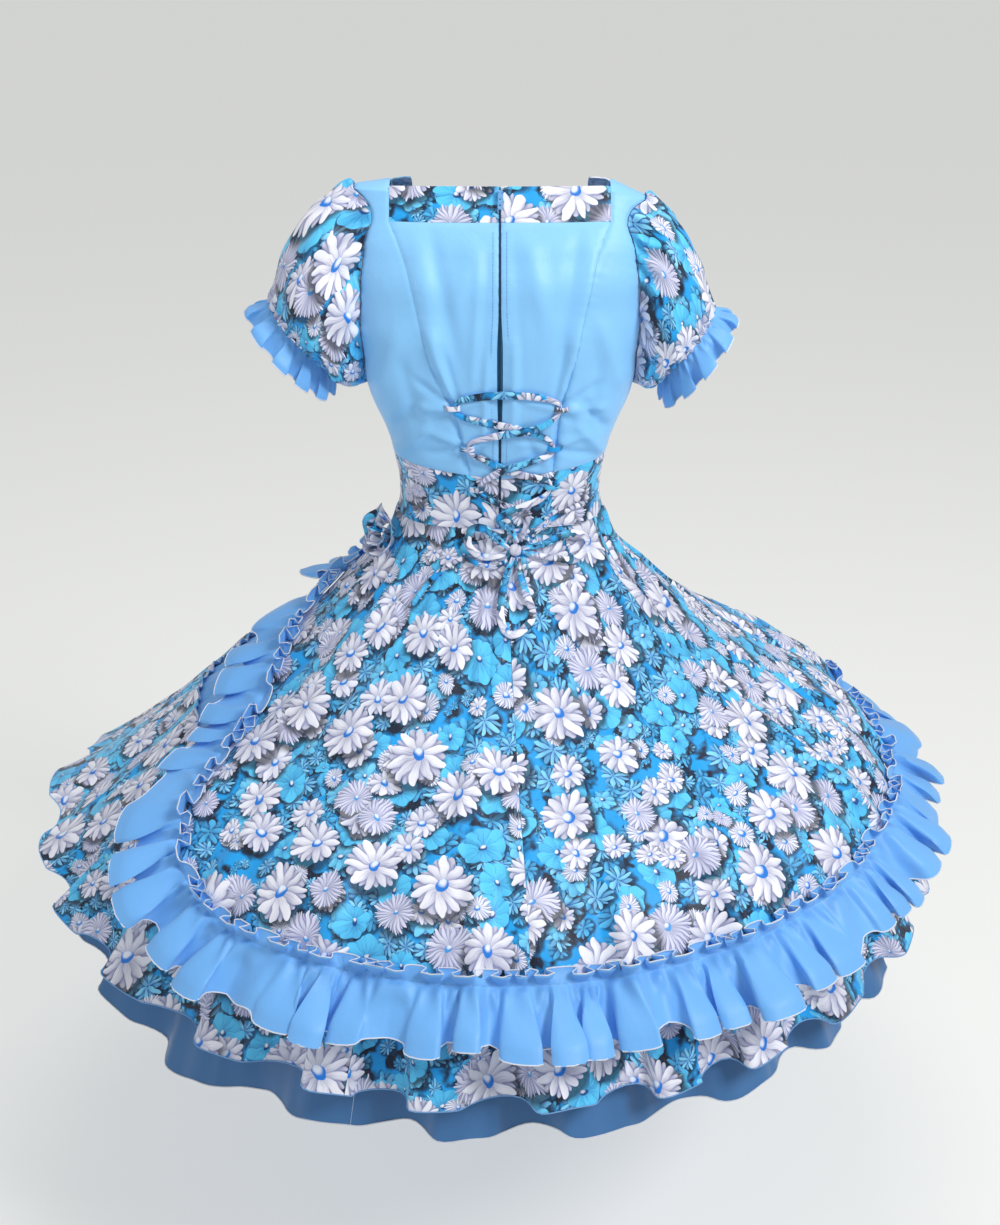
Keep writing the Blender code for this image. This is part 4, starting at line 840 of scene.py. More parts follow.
def torso_out(angle: Array, height: Array) -> Array:
    """The outward direction of the torso at a point."""
    across = torso(angle + 0.002, height) - torso(angle - 0.002, height)
    down = torso(angle, height - 0.0005) - torso(angle, height + 0.0005)
    return unit(np.cross(down, across))


def angle_at_x(x: Array, height: Array, front: bool = False) -> Array:
    """The torso's angle where it passes a given x, on its back or its front."""
    quarter = np.linspace(0, pi / 2, 181)
    found = np.interp(np.clip(np.abs(x) / torso_size(height)[0], 0, 1), squared_sine(quarter), quarter)
    return np.sign(x) * (pi - found if front else found)


def angle_at_armhole(height: Array, front: bool = False) -> Array:
    """The torso's angle at the armhole's edge, an ellipse seen from the side."""
    _, back, ahead = torso_size(height)
    inside = np.clip(1 - ((height - ARMHOLE_MIDDLE) / ARMHOLE_HALF) ** 2, 0, 1)
    quarter = np.linspace(pi / 2, 0, 181)
    share = ARMHOLE_DEPTH * np.sqrt(inside) / (ahead if front else back)
    found = np.interp(share, squared_cosine(quarter), quarter)
    return pi - found if front else found


def armhole_edge(side: int, front: bool = False) -> Edge:
    """The armhole's edge above its bottom, and the side seam below."""
    return lambda height: side * np.where(height > ARMHOLE_BOTTOM, angle_at_armhole(height, front), pi / 2)


def drop_right_shoulder(points: Array) -> Array:
    """Lowers the right shoulder by up to 14 mm, fading towards the neck and down the bodice."""
    points = points.copy()
    points[..., 2] -= 0.014 * ramp((points[..., 0] - 0.125) / 0.06) * ramp((points[..., 2] + 0.16) / 0.14)
    return points


def level(height: float) -> Edge:
    """A level seam at one height."""
    return lambda x: height + 0 * x


def waist_band_top(x: Array) -> Array:
    """The waist band's top edge at the back: straight from each side down to a point at the middle."""
    return -0.344 + 0.017 * np.abs(x) / 0.137


def at_angle(angle: float) -> Edge:
    """An edge at one angle."""
    return lambda height: angle + 0 * height


def wrapped(edge: Edge) -> Edge:
    """An edge's angle one whole turn on, for a panel that crosses the middle of the front."""
    return lambda height: edge(height) + 2 * pi


def in_order(side: int, outer: Edge, inner: Edge) -> tuple[Edge, Edge]:
    """Two edges from left to right: the first one leads on the left side of the dress."""
    return (outer, inner) if side < 0 else (inner, outer)


def at_x(x: float, front: bool = False) -> Edge:
    """An edge straight up and down at one x."""
    return lambda height: angle_at_x(x + 0 * height, height, front)


def seam_line(heights: Sequence[float], offsets: Sequence[float], side: int, front: bool = False) -> Edge:
    """An edge that follows a seam's table on one side."""
    return lambda height: angle_at_x(side * smooth(height, heights, offsets), height, front)


def torso_panel(left: Edge, right: Edge, levels: Sequence[Edge], rows: Sequence[int],
                columns: int) -> tuple[Array, Array]:
    """A fine grid on the torso between two edges and several levels.

    Args:
        left: the left edge's angle at a height.
        right: the right edge's angle at a height.
        levels: heights as functions of x, from top to bottom.
        rows: how many rows lie between each two levels.
        columns: how many columns, besides the close ones at each edge.

    Returns:
        The grid, and the outward direction at each of its points.
    """
    share = shares(columns)[None, :]
    down = np.concatenate([np.arange(count) / count + i for i, count in enumerate(rows)] + [[len(rows)]])
    down = np.unique(np.concatenate([down, [0.03, len(rows) - 0.03]]))
    cell = np.minimum(down.astype(int), len(rows) - 1)[:, None]
    within = down[:, None] - cell
    x = np.zeros((len(down), share.shape[1]))
    for _ in range(6):
        heights = np.stack([line(x) for line in levels])
        above = np.take_along_axis(heights, np.broadcast_to(cell, x.shape)[None], axis=0)[0]
        below = np.take_along_axis(heights, np.broadcast_to(cell + 1, x.shape)[None], axis=0)[0]
        height = above + (below - above) * within
        angle = left(height) * (1 - share) + right(height) * share
        x = torso(angle, height)[..., 0]
    return torso(angle, height), torso_out(angle, height)


def turned_in(grid: Array, depth: float = 0.0011, width: float = 0.0030, top: bool = True,
              bottom: bool = True) -> Array:
    """How far a panel's surface dips towards each seam: a bell against the walk from the nearest edge."""
    across, down = walked(grid, 1), walked(grid, 0)
    off = np.minimum(across, across[:, -1:] - across)
    if top:
        off = np.minimum(off, down)
    if bottom:
        off = np.minimum(off, down[-1:] - down)
    return depth * np.exp(-((off / width) ** 2))


def puckers(grid: Array, seed: int, height: float = 0.0005, pitch: float = 0.011,
            reach: float = 0.011) -> Array:
    """Small gathers that stand square to the side seams and die out into the panel."""
    across, down = walked(grid, 1), walked(grid, 0)
    back = across[:, -1:] - across
    turn = 2 * pi * down / pitch
    left = np.sin(turn + 2 * drift(down, (0.07, 0.04), seed)) * np.exp(-across / reach)
    right = np.sin(turn + 2 * drift(down, (0.06, 0.045), seed + 1)) * np.exp(-back / reach)
    return height * (left + right)


def over_shoulder(grid: Array, normals: Array, sign: float, rows: int) -> tuple[Array, Array]:
    """A strap's grid with rows added at its top, over the shoulder up to the seam along its ridge."""
    edge = grid[0]
    rise = 0.009 * (1 - ramp((np.abs(edge[:, 0]) - 0.10) / 0.09))
    share = np.linspace(1, 0, rows + 1)[:-1, None]
    row = np.repeat(edge[None], rows, axis=0)
    row[..., 1] = edge[:, 1] * (1 - share) + sign * SEAM_GAP / 2 * share
    row[..., 2] = edge[:, 2] + (rise + 0.0035) * (1 - (1 - share) ** 2)
    grid = np.concatenate([row, grid])
    over = facing(grid)[:rows]
    over[0, :, 1] = 0.0
    return grid, np.concatenate([unit(over), normals])


@dataclass
class Bodice:
    """The fitted bodice: back and front panels, neck bands, waist band and zip."""

    room: Workroom
    columns: int = 34
    back_creases: tuple[Crease, ...] = table(Crease, (
        (0.128, -0.318, 0.092, -0.262, 0.0064, 0.0069), (0.132, -0.285, 0.100, -0.240, -0.0058, 0.0063),
        (-0.128, -0.322, -0.086, -0.270, 0.0069, 0.0075), (-0.138, -0.292, -0.098, -0.236, -0.0051, 0.0069),
        (-0.150, -0.235, -0.120, -0.150, 0.0040, 0.0115), (0.150, -0.225, 0.118, -0.140, 0.0046, 0.0115),
        (-0.060, -0.236, -0.086, -0.150, 0.0058, 0.0092), (-0.052, -0.240, -0.070, -0.175, -0.0046, 0.0052),
        (0.076, -0.238, 0.094, -0.150, 0.0051, 0.0092), (0.068, -0.236, 0.080, -0.170, -0.0040, 0.0052),
        (-0.030, -0.060, -0.060, -0.140, 0.0035, 0.0138), (0.034, -0.055, 0.056, -0.150, 0.0035, 0.0126),
        (-0.016, -0.190, -0.020, -0.300, 0.0035, 0.0057), (0.018, -0.170, 0.016, -0.290, 0.0040, 0.0063),
        (-0.035, -0.330, -0.012, -0.285, -0.0029, 0.0069), (0.050, -0.330, 0.030, -0.280, -0.0029, 0.0069),
        (-0.062, -0.243, -0.105, -0.213, -0.0038, 0.0048), (-0.062, -0.250, -0.112, -0.250, 0.0042, 0.0051),
        (-0.060, -0.257, -0.100, -0.276, -0.0035, 0.0048), (-0.045, -0.297, -0.085, -0.282, 0.0038, 0.0048),
        (-0.045, -0.305, -0.092, -0.312, -0.0035, 0.0046), (0.080, -0.245, 0.126, -0.220, -0.0038, 0.0051),
        (0.080, -0.252, 0.131, -0.254, 0.0042, 0.0051), (0.078, -0.260, 0.118, -0.281, -0.0035, 0.0048),
        (0.072, -0.298, 0.108, -0.287, 0.0038, 0.0048), (0.072, -0.306, 0.114, -0.317, -0.0035, 0.0046),
        (-0.050, -0.247, -0.016, -0.235, 0.0029, 0.0048), (-0.036, -0.300, -0.008, -0.291, 0.0026, 0.0046),
        (0.066, -0.249, 0.028, -0.239, 0.0029, 0.0048), (0.060, -0.301, 0.020, -0.295, 0.0026, 0.0046),
        (-0.057, -0.250, -0.081, -0.196, -0.0052, 0.0038),
        (-0.056, -0.264, -0.040, -0.336, -0.0048, 0.0034), (0.074, -0.250, 0.088, -0.198, -0.0052, 0.0038),
        (0.072, -0.264, 0.066, -0.338, -0.0048, 0.0034), (-0.100, -0.060, -0.072, -0.200, 0.0030, 0.0110),
        (-0.080, -0.050, -0.050, -0.200, -0.0028, 0.0090),
        (-0.016, -0.070, -0.024, -0.215, -0.0011, 0.0060), (-0.024, -0.080, -0.034, -0.230, 0.0026, 0.0070),
        (0.018, -0.065, 0.026, -0.220, -0.0011, 0.0060), (0.092, -0.055, 0.070, -0.190, -0.0028, 0.0095),
        (0.112, -0.070, 0.094, -0.200, 0.0030, 0.0110), (-0.118, -0.200, -0.100, -0.290, -0.0030, 0.0080),
        (0.122, -0.195, 0.108, -0.290, -0.0030, 0.0080),
    ))
    front_creases: tuple[Crease, ...] = table(Crease, (
        (0.020, -0.300, 0.060, -0.250, 0.0029, 0.0080), (-0.030, -0.310, -0.074, -0.255, 0.0032, 0.0080),
        (0.130, -0.300, 0.096, -0.240, 0.0036, 0.0070), (-0.132, -0.290, -0.100, -0.232, 0.0036, 0.0070),
        (0.070, -0.140, 0.030, -0.150, 0.0018, 0.0120), (-0.064, -0.135, -0.020, -0.146, 0.0018, 0.0120),
    ))

    def build(self) -> None:
        """Makes every panel and band."""
        self.back()
        self.front()
        self.neck()
        self.waist()
        self.zip()
        LOG.info("bodice made")

    def panel(self, name: str, grid: Array, normals: Array, kind: SatinFinish, seed: int,
              creases: Sequence[Crease] = (), top: bool = True) -> None:
        """One panel: the torso's grid with its seams turned in, its puckers and its creases.

        Args:
            name: the CAD node that it stands for.
            grid: its smooth grid.
            normals: its outward directions.
            kind: its finish.
            seed: for its uneven puckers and its place in the print.
            creases: its listed creases, in x and height.
            top: whether its top edge is a seam.
        """
        lift = creased(creases, grid[..., 0], grid[..., 2]) + puckers(grid, seed)
        lift -= turned_in(grid, top=top)
        shaped = drop_right_shoulder(trimmed(grid, top=top) + normals * lift[..., None])
        shift = np.random.default_rng(seed).uniform(0, 3, 2)
        places = flat_places(shaped, tuple(shift))
        wide = float(walked(shaped, 1)[:, -1].max())
        tall = float(walked(shaped, 0)[-1].max())
        self.room.sewn(name, shaped, places, kind, "stretched", (wide, tall), normals=normals)

    def back(self) -> None:
        """The four back panels."""
        for side, word, heights, offsets in ((-1, "left", SEAM_HEIGHTS, BACK_SEAM_LEFT),
                                             (1, "right", RIGHT_HEIGHTS, BACK_SEAM_RIGHT)):
            zip_edge = seam_line(ZIP_HEIGHTS, ZIP_OPENING, side)
            seam = seam_line(heights, offsets, side)
            levels = (level(0.0), level(NECK_BOTTOM), waist_band_top)
            edges = in_order(side, seam, zip_edge)
            panel = torso_panel(*edges, levels[1:], (80,), self.columns)
            self.panel(f"back_centre_{word}", *panel, LIT_BODICE_SATIN, 11 + side, self.back_creases)
            edges = in_order(side, armhole_edge(side), seam)
            panel = over_shoulder(*torso_panel(*edges, levels, (10, 80), self.columns), -1, 8)
            self.panel(f"back_side_{word}", *panel, LIT_BODICE_SATIN, 21 + side, self.back_creases, top=False)

    def front(self) -> None:
        """The three front panels."""
        seams = {side: seam_line(FRONT_HEIGHTS, FRONT_SEAM, side, True) for side in (-1, 1)}
        levels = (level(0.0), level(FRONT_NECK), level(FRONT_WAIST))
        panel = torso_panel(seams[1], wrapped(seams[-1]), levels[1:], (60,), 60)
        self.panel("front_centre", *panel, LIT_BODICE_SATIN, 31, self.front_creases)
        for side, word in ((-1, "left"), (1, "right")):
            edges = in_order(side, seams[side], armhole_edge(side, True))
            panel = over_shoulder(*torso_panel(*edges, levels, (30, 60), self.columns), 1, 8)
            self.panel(f"front_side_{word}", *panel, LIT_BODICE_SATIN, 41 + side, self.front_creases, top=False)

    def neck(self) -> None:
        """The flowered band across the back and the same band round the square front neckline."""
        for side, word in ((-1, "left"), (1, "right")):
            edges = in_order(side, at_x(side * STRAP_INNER), at_x(side * ZIP_OPENING[-1]))
            panel = torso_panel(*edges, (level(NECK_BAND_TOP), level(NECK_BOTTOM)), (12,), 44)
            self.panel(f"neck_band_{word}", *panel, FLOWERED, 51 + side, top=False)
            edges = in_order(side, at_x(side * (STRAP_INNER - TRIM_WIDTH), True),
                             at_x(side * STRAP_INNER, True))
            panel = torso_panel(*edges, (level(0.0), level(FRONT_TRIM)), (30,), 10)
            self.panel(f"neck_trim_{word}", *over_shoulder(*panel, -30, 12), FLOWERED, 61 + side, top=False)
        edges = (at_x(STRAP_INNER, True), wrapped(at_x(-STRAP_INNER, True)))
        panel = torso_panel(*edges, (level(FRONT_TRIM), level(FRONT_NECK)), (10,), 70)
        self.panel("neck_trim_front", *panel, FLOWERED, 71)

    def waist(self) -> None:
        """The flowered waist band, parted at the back by the zip."""
        for side, word in ((-1, "left"), (1, "right")):
            edges = in_order(side, at_angle(side * pi / 2), at_x(side * ZIP_OPENING[0]))
            panel = torso_panel(*edges, (waist_band_top, level(WAIST_BOTTOM)), (24,), 50)
            self.panel(f"waist_back_{word}", *panel, FLOWERED, 81 + side, self.back_creases)
        levels = (level(FRONT_WAIST), level(WAIST_BOTTOM))
        panel = torso_panel(at_angle(pi / 2), at_angle(3 * pi / 2), levels, (24,), 100)
        self.panel("waist_front", *panel, FLOWERED, 91)

    def zip(self) -> None:
        """The zip's woven tape, its nylon coil, its topstitching and the CAD slider and pull in enamel."""
        levels = (level(NECK_BAND_TOP), level(WAIST_BOTTOM))
        grid, out = torso_panel(at_x(-ZIP_HALF), at_x(ZIP_HALF), levels, (140,), 12)
        across = grid[..., 0] / ZIP_HALF
        ribs = 0.00012 * np.cos(across * 26)
        grid = grid - out * (0.0019 - ribs)[..., None]
        self.room.sewn("zip_tape", grid, flat_places(grid), TAPE, "stretched", (2 * ZIP_HALF, 0.42),
                       normals=out, thickness=0.0006)
        turn = np.linspace(0, pi, 5)[:, None]
        teeth = []
        for number, height in enumerate(np.arange(-0.404, -0.006, 0.0013)):
            side = np.array([1.0 if number % 2 else -1.0, 0.0, 0.0])
            spot = torso(np.array(0.0), np.array(height))
            away = torso_out(np.array(0.0), np.array(height))
            across = side * (0.0016 * np.cos(turn) - 0.0002)
            teeth.append(spot - away * 0.0010 + across + away * 0.0007 * np.sin(turn))
        self.room.tube("zip_coil", teeth, 0.00036, COIL, 4)
        stitches = []
        for side in (-1, 1):
            for height in np.arange(-0.336, -0.038, 0.0042):
                x = side * (0.0072 + float(smooth(height, ZIP_HEIGHTS, ZIP_OPENING)))
                ends = []
                for z in (height, height - 0.0012, height - 0.0024):
                    angle = angle_at_x(np.array(x), np.array(z))
                    ends.append(torso(angle, np.array(z)) + torso_out(angle, np.array(z)) * 0.0003)
                stitches.append(np.array(ends))
        self.room.tube("zip_topstitching", stitches, 0.00042, STITCHING)
        for node in ("zip_slider", "zip_pull"):
            thing = bpy.data.objects[node]
            for spot in thing.material_slots:
                spot.material = self.room.finish(ENAMEL)


# Sleeves


@dataclass(frozen=True)
class SleeveRing:
    """One ring of a sleeve: its top point, its bottom point and its half depth."""

    top_x: float
    top_z: float
    bottom_x: float
    bottom_z: float
    half_depth: float


LEFT_SLEEVE = table(SleeveRing, (
    (0.1835, 0.0035, 0.1695, -0.2435, 0.056), (0.2090, -0.0110, 0.1850, -0.2480, 0.086),
    (0.2480, -0.0500, 0.1950, -0.2440, 0.094), (0.2760, -0.1030, 0.2030, -0.2330, 0.085),
    (0.2870, -0.1380, 0.2110, -0.2180, 0.064),
))
RIGHT_SLEEVE = table(SleeveRing, (
    (0.1835, 0.0035, 0.1695, -0.2435, 0.056), (0.2060, -0.0170, 0.1820, -0.2500, 0.084),
    (0.2350, -0.0600, 0.1890, -0.2480, 0.090), (0.2550, -0.1080, 0.1950, -0.2400, 0.082),
    (0.2660, -0.1480, 0.2010, -0.2270, 0.063),
))


@dataclass
class Sleeve:
    """A flowered puff sleeve with a blue ruffle at its cuff."""

    room: Workroom
    word: str
    side: int
    rings: tuple[SleeveRing, ...]
    seed: int
    gathers: int = 23
    columns: int = 168
    rows: int = 42
    ruffle_columns: int = 480
    ruffle_fall: float = 0.034
    ruffle_cut: tuple[float, float] = (0.78, 0.038)
    waves: int = 10
    creases: tuple[Crease, ...] = table(Crease, (
        (0.9, 0.4, 1.3, 2.4, -0.0045, 0.16), (-0.5, 0.5, -0.2, 2.0, -0.0040, 0.15),
        (0.2, 0.6, 0.35, 2.8, 0.0040, 0.16), (1.8, 1.2, 2.2, 3.4, -0.0040, 0.18),
        (-1.5, 0.8, -1.9, 2.9, -0.0042, 0.17), (2.6, 1.4, 2.4, 3.2, 0.0035, 0.15),
        (-2.6, 1.2, -2.3, 3.0, 0.0035, 0.15), (0.6, 2.6, 1.0, 3.8, -0.0030, 0.10),
        (-0.9, 2.5, -0.7, 3.8, -0.0030, 0.10),
    ))

    def ring_points(self, rings: Array, turns: Array) -> Array:
        """The smooth sleeve: each ring an oval from its top point round to its bottom point."""
        at = list(range(len(self.rings)))
        top_x, top_z, low_x, low_z, depth = [
            smooth(rings, at, [getattr(ring, word) for ring in self.rings])[:, None]
            for word in ("top_x", "top_z", "bottom_x", "bottom_z", "half_depth")
        ]
        up = (1 + np.cos(turns)) / 2
        x, z = low_x + (top_x - low_x) * up, low_z + (top_z - low_z) * up
        grid = np.stack([x, -depth * np.sin(turns), z], -1)
        pull = np.clip(1 - rings, 0, 1)[:, None, None] ** 2
        return grid + (self.armhole(turns) - grid) * pull

    @staticmethod
    def armhole(turns: Array) -> Array:
        """Points just outside the armhole's edge on the right; turn 0 is its top and pi its bottom."""
        height = ARMHOLE_MIDDLE + ARMHOLE_HALF * np.cos(turns)
        low = np.minimum(height, 0.0)
        angle = np.where(np.sin(turns) > 0, angle_at_armhole(low), angle_at_armhole(low, True))
        point = torso(angle, low) + torso_out(angle, low) * 0.0012
        top = height > 0
        point[..., 0] += 0.0010 * top
        point[..., 1] *= np.where(top, np.abs(np.sin(turns)) / 0.24, 1.0)
        point[..., 2] += 0.0055 * top * np.cos(turns) ** 8
        return point

    def build(self) -> None:
        """Makes the sleeve, its ruffle and the ruffle's serged edge."""
        turns = (np.linspace(0, 2 * pi, self.columns + 1) * -self.side)[None, :]
        rings = rows_with(0, 4, self.rows, (0.02, 0.05, 3.95, 3.98))[:, 0]
        base = self.ring_points(rings, turns)
        base[:, -1] = base[:, 0]
        wound = (turns + pi) % (2 * pi) - pi
        up = (1 + np.cos(turns)) / 2
        ring = rings[:, None]
        phase = self.gathers * turns + 1.3 * drift(turns, (1.9, 1.1, 0.77), self.seed)
        cap = 0.0042 * np.exp(-((ring - 0.16) / 0.55) ** 2) * ramp(ring / 0.10)
        cap = cap * (0.25 + 0.75 * ramp(up * 1.5))
        long = 0.0035 * np.exp(-((ring - 0.8) / 0.8) ** 2) * ramp(ring / 0.3) * ramp(up * 1.6)
        cuff = 0.0040 * np.exp(-((ring - 3.95) / 0.55) ** 2) * ramp((4.02 - ring) / 0.05)
        lift = cap * np.sin(phase) + long * np.cos(7 * turns + 0.6) + cuff * np.sin(phase * 1.09 + 1.0)
        lift = lift + creased(self.creases, wound, ring + 0 * wound)
        swell = drift(wound * 0.11 + ring * 0.03, (0.11, 0.07, 0.045), self.seed + 3)
        lift = lift + 0.0016 * swell * ramp(ring) * ramp(4 - ring)
        puff = base * [self.side, 1.0, 1.0]
        normals = ring_facing(puff)
        lift[:, -1] = lift[:, 0]
        grid = drop_right_shoulder(puff + normals * lift[..., None])
        self.room.sewn(f"sleeve_{self.word}", grid, self.places(grid), FLOWERED, "gathered", around=True)
        self.ruffle()
        LOG.info("sleeve %s made", self.word)

    def places(self, grid: Array) -> Array:
        """Flat places of the sleeve: u by the turn at the sleeve's fullest, v by the walk down."""
        columns = np.linspace(0, 0.60, grid.shape[1])[None, :]
        down = walked(grid, 0).mean(axis=1)[:, None]
        return paired(columns + self.seed * 0.37, -down + self.seed * 0.21)

    def ruffle(self) -> None:
        """The cuff's ruffle: a meander that grows from the gathered seam to a full wave at its edge."""
        turns = np.linspace(0, 2 * pi, self.ruffle_columns + 1) * -self.side
        cuff = self.ring_points(np.array([4.0]), turns[None, :])[0] * [self.side, 1.0, 1.0]
        cuff = drop_right_shoulder(cuff)
        cuff[-1] = cuff[0]
        last = self.rings[-1]
        away = unit(np.array([self.side * (last.top_z - last.bottom_z), 0.0, last.bottom_x - last.top_x]))
        fall = unit(away * 0.7 + np.array([0.0, 0.0, -0.45]))
        spread = unit(cuff - cuff[:-1].mean(axis=0))
        along = unit(np.roll(cuff[:-1], -1, 0) - np.roll(cuff[:-1], 1, 0))
        along = np.concatenate([along, along[:1]])
        phase = self.waves * turns + 0.9 * np.sin(2 * turns + self.seed) + 0.5 * np.sin(3 * turns)
        fine = 3 * phase + 0.8
        share = rows_with(0, 1, 13, (0.02, 0.98))
        grow = ramp(share * 1.15)
        gather = 0.0016 * (1 - share) * ramp(share * 9) * np.sin(fine)
        flare = 0.006 * share + 0.0170 * grow * np.sqrt(0.5 + 0.5 * np.sin(phase)) + gather
        slide = 0.0062 * self.side * grow * np.sin(2 * phase)
        grid = (cuff + away * 0.0004 + fall * (self.ruffle_fall * share)[..., None]
                + spread * flare[..., None] + along * slide[..., None])
        grid[:, -1] = grid[:, 0]
        wide, deep = self.ruffle_cut
        places = paired(np.linspace(0, wide, self.ruffle_columns + 1)[None, :], -deep * share)
        name = f"sleeve_ruffle_{self.word}"
        self.room.sewn(name, grid, places, RUFFLE_SATIN, "gathered", around=True)
        self.room.tube(name + "_serging", [grid[-1, ::2]], SERGED_RADIUS, SERGING)


# Skirts


SKIRT_RADIUS = (0.1355, 0.1520, 0.2050, 0.2900, 0.4000, 0.4850, 0.5330)
SKIRT_HEIGHT = (-0.4103, -0.4520, -0.5150, -0.5920, -0.6720, -0.7300, -0.7870)
SKIRT_WALK = np.concatenate([[0.0], np.cumsum(np.hypot(np.diff(SKIRT_RADIUS), np.diff(SKIRT_HEIGHT)))])
SLIT_ANGLE = -108.0
FLARE_RATE = 0.716
EDGE_TURN = (0.0, 7.0, 14.0, 32.0, 43.0, 48.0, 52.0, 57.0, 64.0, 76.0, 180.0)
EDGE_LENGTH = (0.060, 0.115, 0.195, 0.245, 0.308, 0.380, 0.439, 0.496, 0.533, 0.553, 0.553)


def skirt(angle: Array, length: Array, lift: Array) -> Array:
    """A point of the skirt: its profile turned round the axis, an oval at the waist that becomes a circle.

    Args:
        angle: the way round, 0 in the middle of the back.
        length: the walk down the profile.
        lift: how far the point stands off the surface.

    Returns:
        The points.
    """
    radius, height = smooth(length, SKIRT_WALK, SKIRT_RADIUS), smooth(length, SKIRT_WALK, SKIRT_HEIGHT)
    above = np.clip(length - 0.002, 0.0, SKIRT_WALK[-1] - 0.004)
    slope_r = smooth(above + 0.004, SKIRT_WALK, SKIRT_RADIUS) - smooth(above, SKIRT_WALK, SKIRT_RADIUS)
    slope_z = smooth(above + 0.004, SKIRT_WALK, SKIRT_HEIGHT) - smooth(above, SKIRT_WALK, SKIRT_HEIGHT)
    size = np.hypot(slope_r, slope_z)
    radius = radius - slope_z / size * lift
    height = height + slope_r / size * lift
    oval = 0.70 + 0.30 * ramp(length / 0.26)
    return np.stack([radius * np.sin(angle), -radius * oval * np.cos(angle), height], -1)


def turn_from(angle: Array, centre: float) -> Array:
    """How far an angle in degrees lies from a centre, either way round."""
    return np.abs((angle - centre + 180.0) % 360.0 - 180.0)


def edge_length(angle: Array) -> Array:
    """How far down the overskirt reaches at an angle in degrees."""
    return smooth(turn_from(angle, SLIT_ANGLE), EDGE_TURN, EDGE_LENGTH)


def flare_places(angle: Array, length: Array, centre: float, shift: tuple[float, float]) -> Array:
    """Flat places of a flared gore: its cone unrolled about its own middle line."""
    reach = SKIRT_RADIUS[0] / FLARE_RATE + length
    turn = np.radians(angle - centre) * FLARE_RATE
    return np.stack([reach * np.sin(turn) + shift[0], -reach * np.cos(turn) + shift[1]], -1)


def hung_panel(room: Workroom, name: str, grid: Array, angle: Array, length: Array, kind: SatinFinish,
               dip: float, shift: tuple[float, float]) -> None:
    """A flared panel that hangs from the waist, turned in at its top and side seams.

    Args:
        room: where it is made.
        name: the CAD node that it stands for.
        grid: its grid of points.
        angle: the angle of each column, in degrees.
        length: the walk down at each point.
        kind: its finish.
        dip: how far its surface dips at a seam.
        shift: its place in the print.
    """
    normals = facing(grid)
    grid = grid - normals * turned_in(grid, dip, 0.0035, bottom=False)[..., None]
    places = flare_places(angle, length, float(angle.mean()), shift) + 0 * grid[..., :2]
    wide, tall = (float(x) for x in np.ptp(places.reshape(-1, 2), axis=0))
    room.sewn(name, trimmed(grid, bottom=False), places, kind, "hung", (wide, tall), grid, normals=normals)


@dataclass(frozen=True)
class Fold:
    """A soft fold down the skirt: its angle, half width in degrees, height and the share where it starts."""

    angle: float
    half_width: float
    height: float
    start: float


OVERSKIRT_FOLDS = table(Fold, (
    (-78.0, 6.0, 0.008, 0.30), (-52.0, 8.0, 0.010, 0.35), (-31.0, 7.0, 0.013, 0.30),
    (-11.0, 6.0, 0.012, 0.40), (4.5, 6.5, 0.016, 0.30), (21.0, 5.0, 0.010, 0.45), (35.0, 6.5, 0.014, 0.25),
    (53.0, 7.5, 0.012, 0.30), (75.0, 8.0, 0.015, 0.25), (99.0, 8.5, 0.012, 0.35), (122.0, 7.5, 0.016, 0.25),
    (145.0, 8.0, 0.012, 0.35), (169.0, 8.5, 0.015, 0.30), (192.0, 7.0, 0.011, 0.40),
    (214.0, 8.0, 0.014, 0.30), (238.0, 6.5, 0.009, 0.35),
))
SHARP_FOLDS = table(Fold, (
    (-3.0, 1.6, 0.0199, 0.45), (15.5, 1.5, 0.0186, 0.52), (-22.0, 1.8, 0.0119, 0.55),
    (31.0, 1.7, 0.0133, 0.50), (-41.0, 2.0, 0.0119, 0.50), (47.0, 2.2, 0.0133, 0.42),
    (66.0, 2.2, 0.0133, 0.45), (88.0, 2.4, 0.0133, 0.40), (112.0, 2.2, 0.0146, 0.45),
    (134.0, 2.0, 0.0133, 0.50), (157.0, 2.4, 0.0146, 0.42), (181.0, 2.0, 0.0133, 0.50),
    (203.0, 2.2, 0.0133, 0.45), (226.0, 2.2, 0.0119, 0.50),
))
WAIST_CREASES = table(Crease, (
    (-4.0, 0.01, -8.0, 0.14, 0.0045, 1.9), (10.0, 0.01, 17.0, 0.17, 0.0045, 2.0),
    (-22.0, 0.01, -30.0, 0.12, 0.0039, 2.2), (27.0, 0.02, 36.0, 0.15, 0.0039, 2.2),
    (-48.0, 0.01, -58.0, 0.10, 0.0045, 2.2), (52.0, 0.01, 60.0, 0.13, 0.0039, 2.4),
    (-70.0, 0.01, -80.0, 0.09, 0.0045, 2.2), (78.0, 0.01, 84.0, 0.12, 0.0042, 2.4),
    (108.0, 0.01, 112.0, 0.13, 0.0042, 2.4), (140.0, 0.01, 137.0, 0.12, 0.0042, 2.4),
    (168.0, 0.01, 172.0, 0.15, 0.0042, 2.4), (198.0, 0.01, 204.0, 0.12, 0.0042, 2.4),
    (228.0, 0.01, 232.0, 0.11, 0.0042, 2.4),
))


def fold_lift(folds: Sequence[Fold], angle: Array, length: Array) -> Array:
    """The sum of folds, each a bell across and growing down the skirt."""
    total = SKIRT_WALK[-1]
    lift = np.zeros(np.broadcast(angle, length).shape)
    for fold in folds:
        bell = np.exp(-((turn_from(angle, fold.angle) / fold.half_width) ** 2))
        lift = lift + fold.height * bell * ramp((length / total - fold.start) / (1 - fold.start))
    return lift


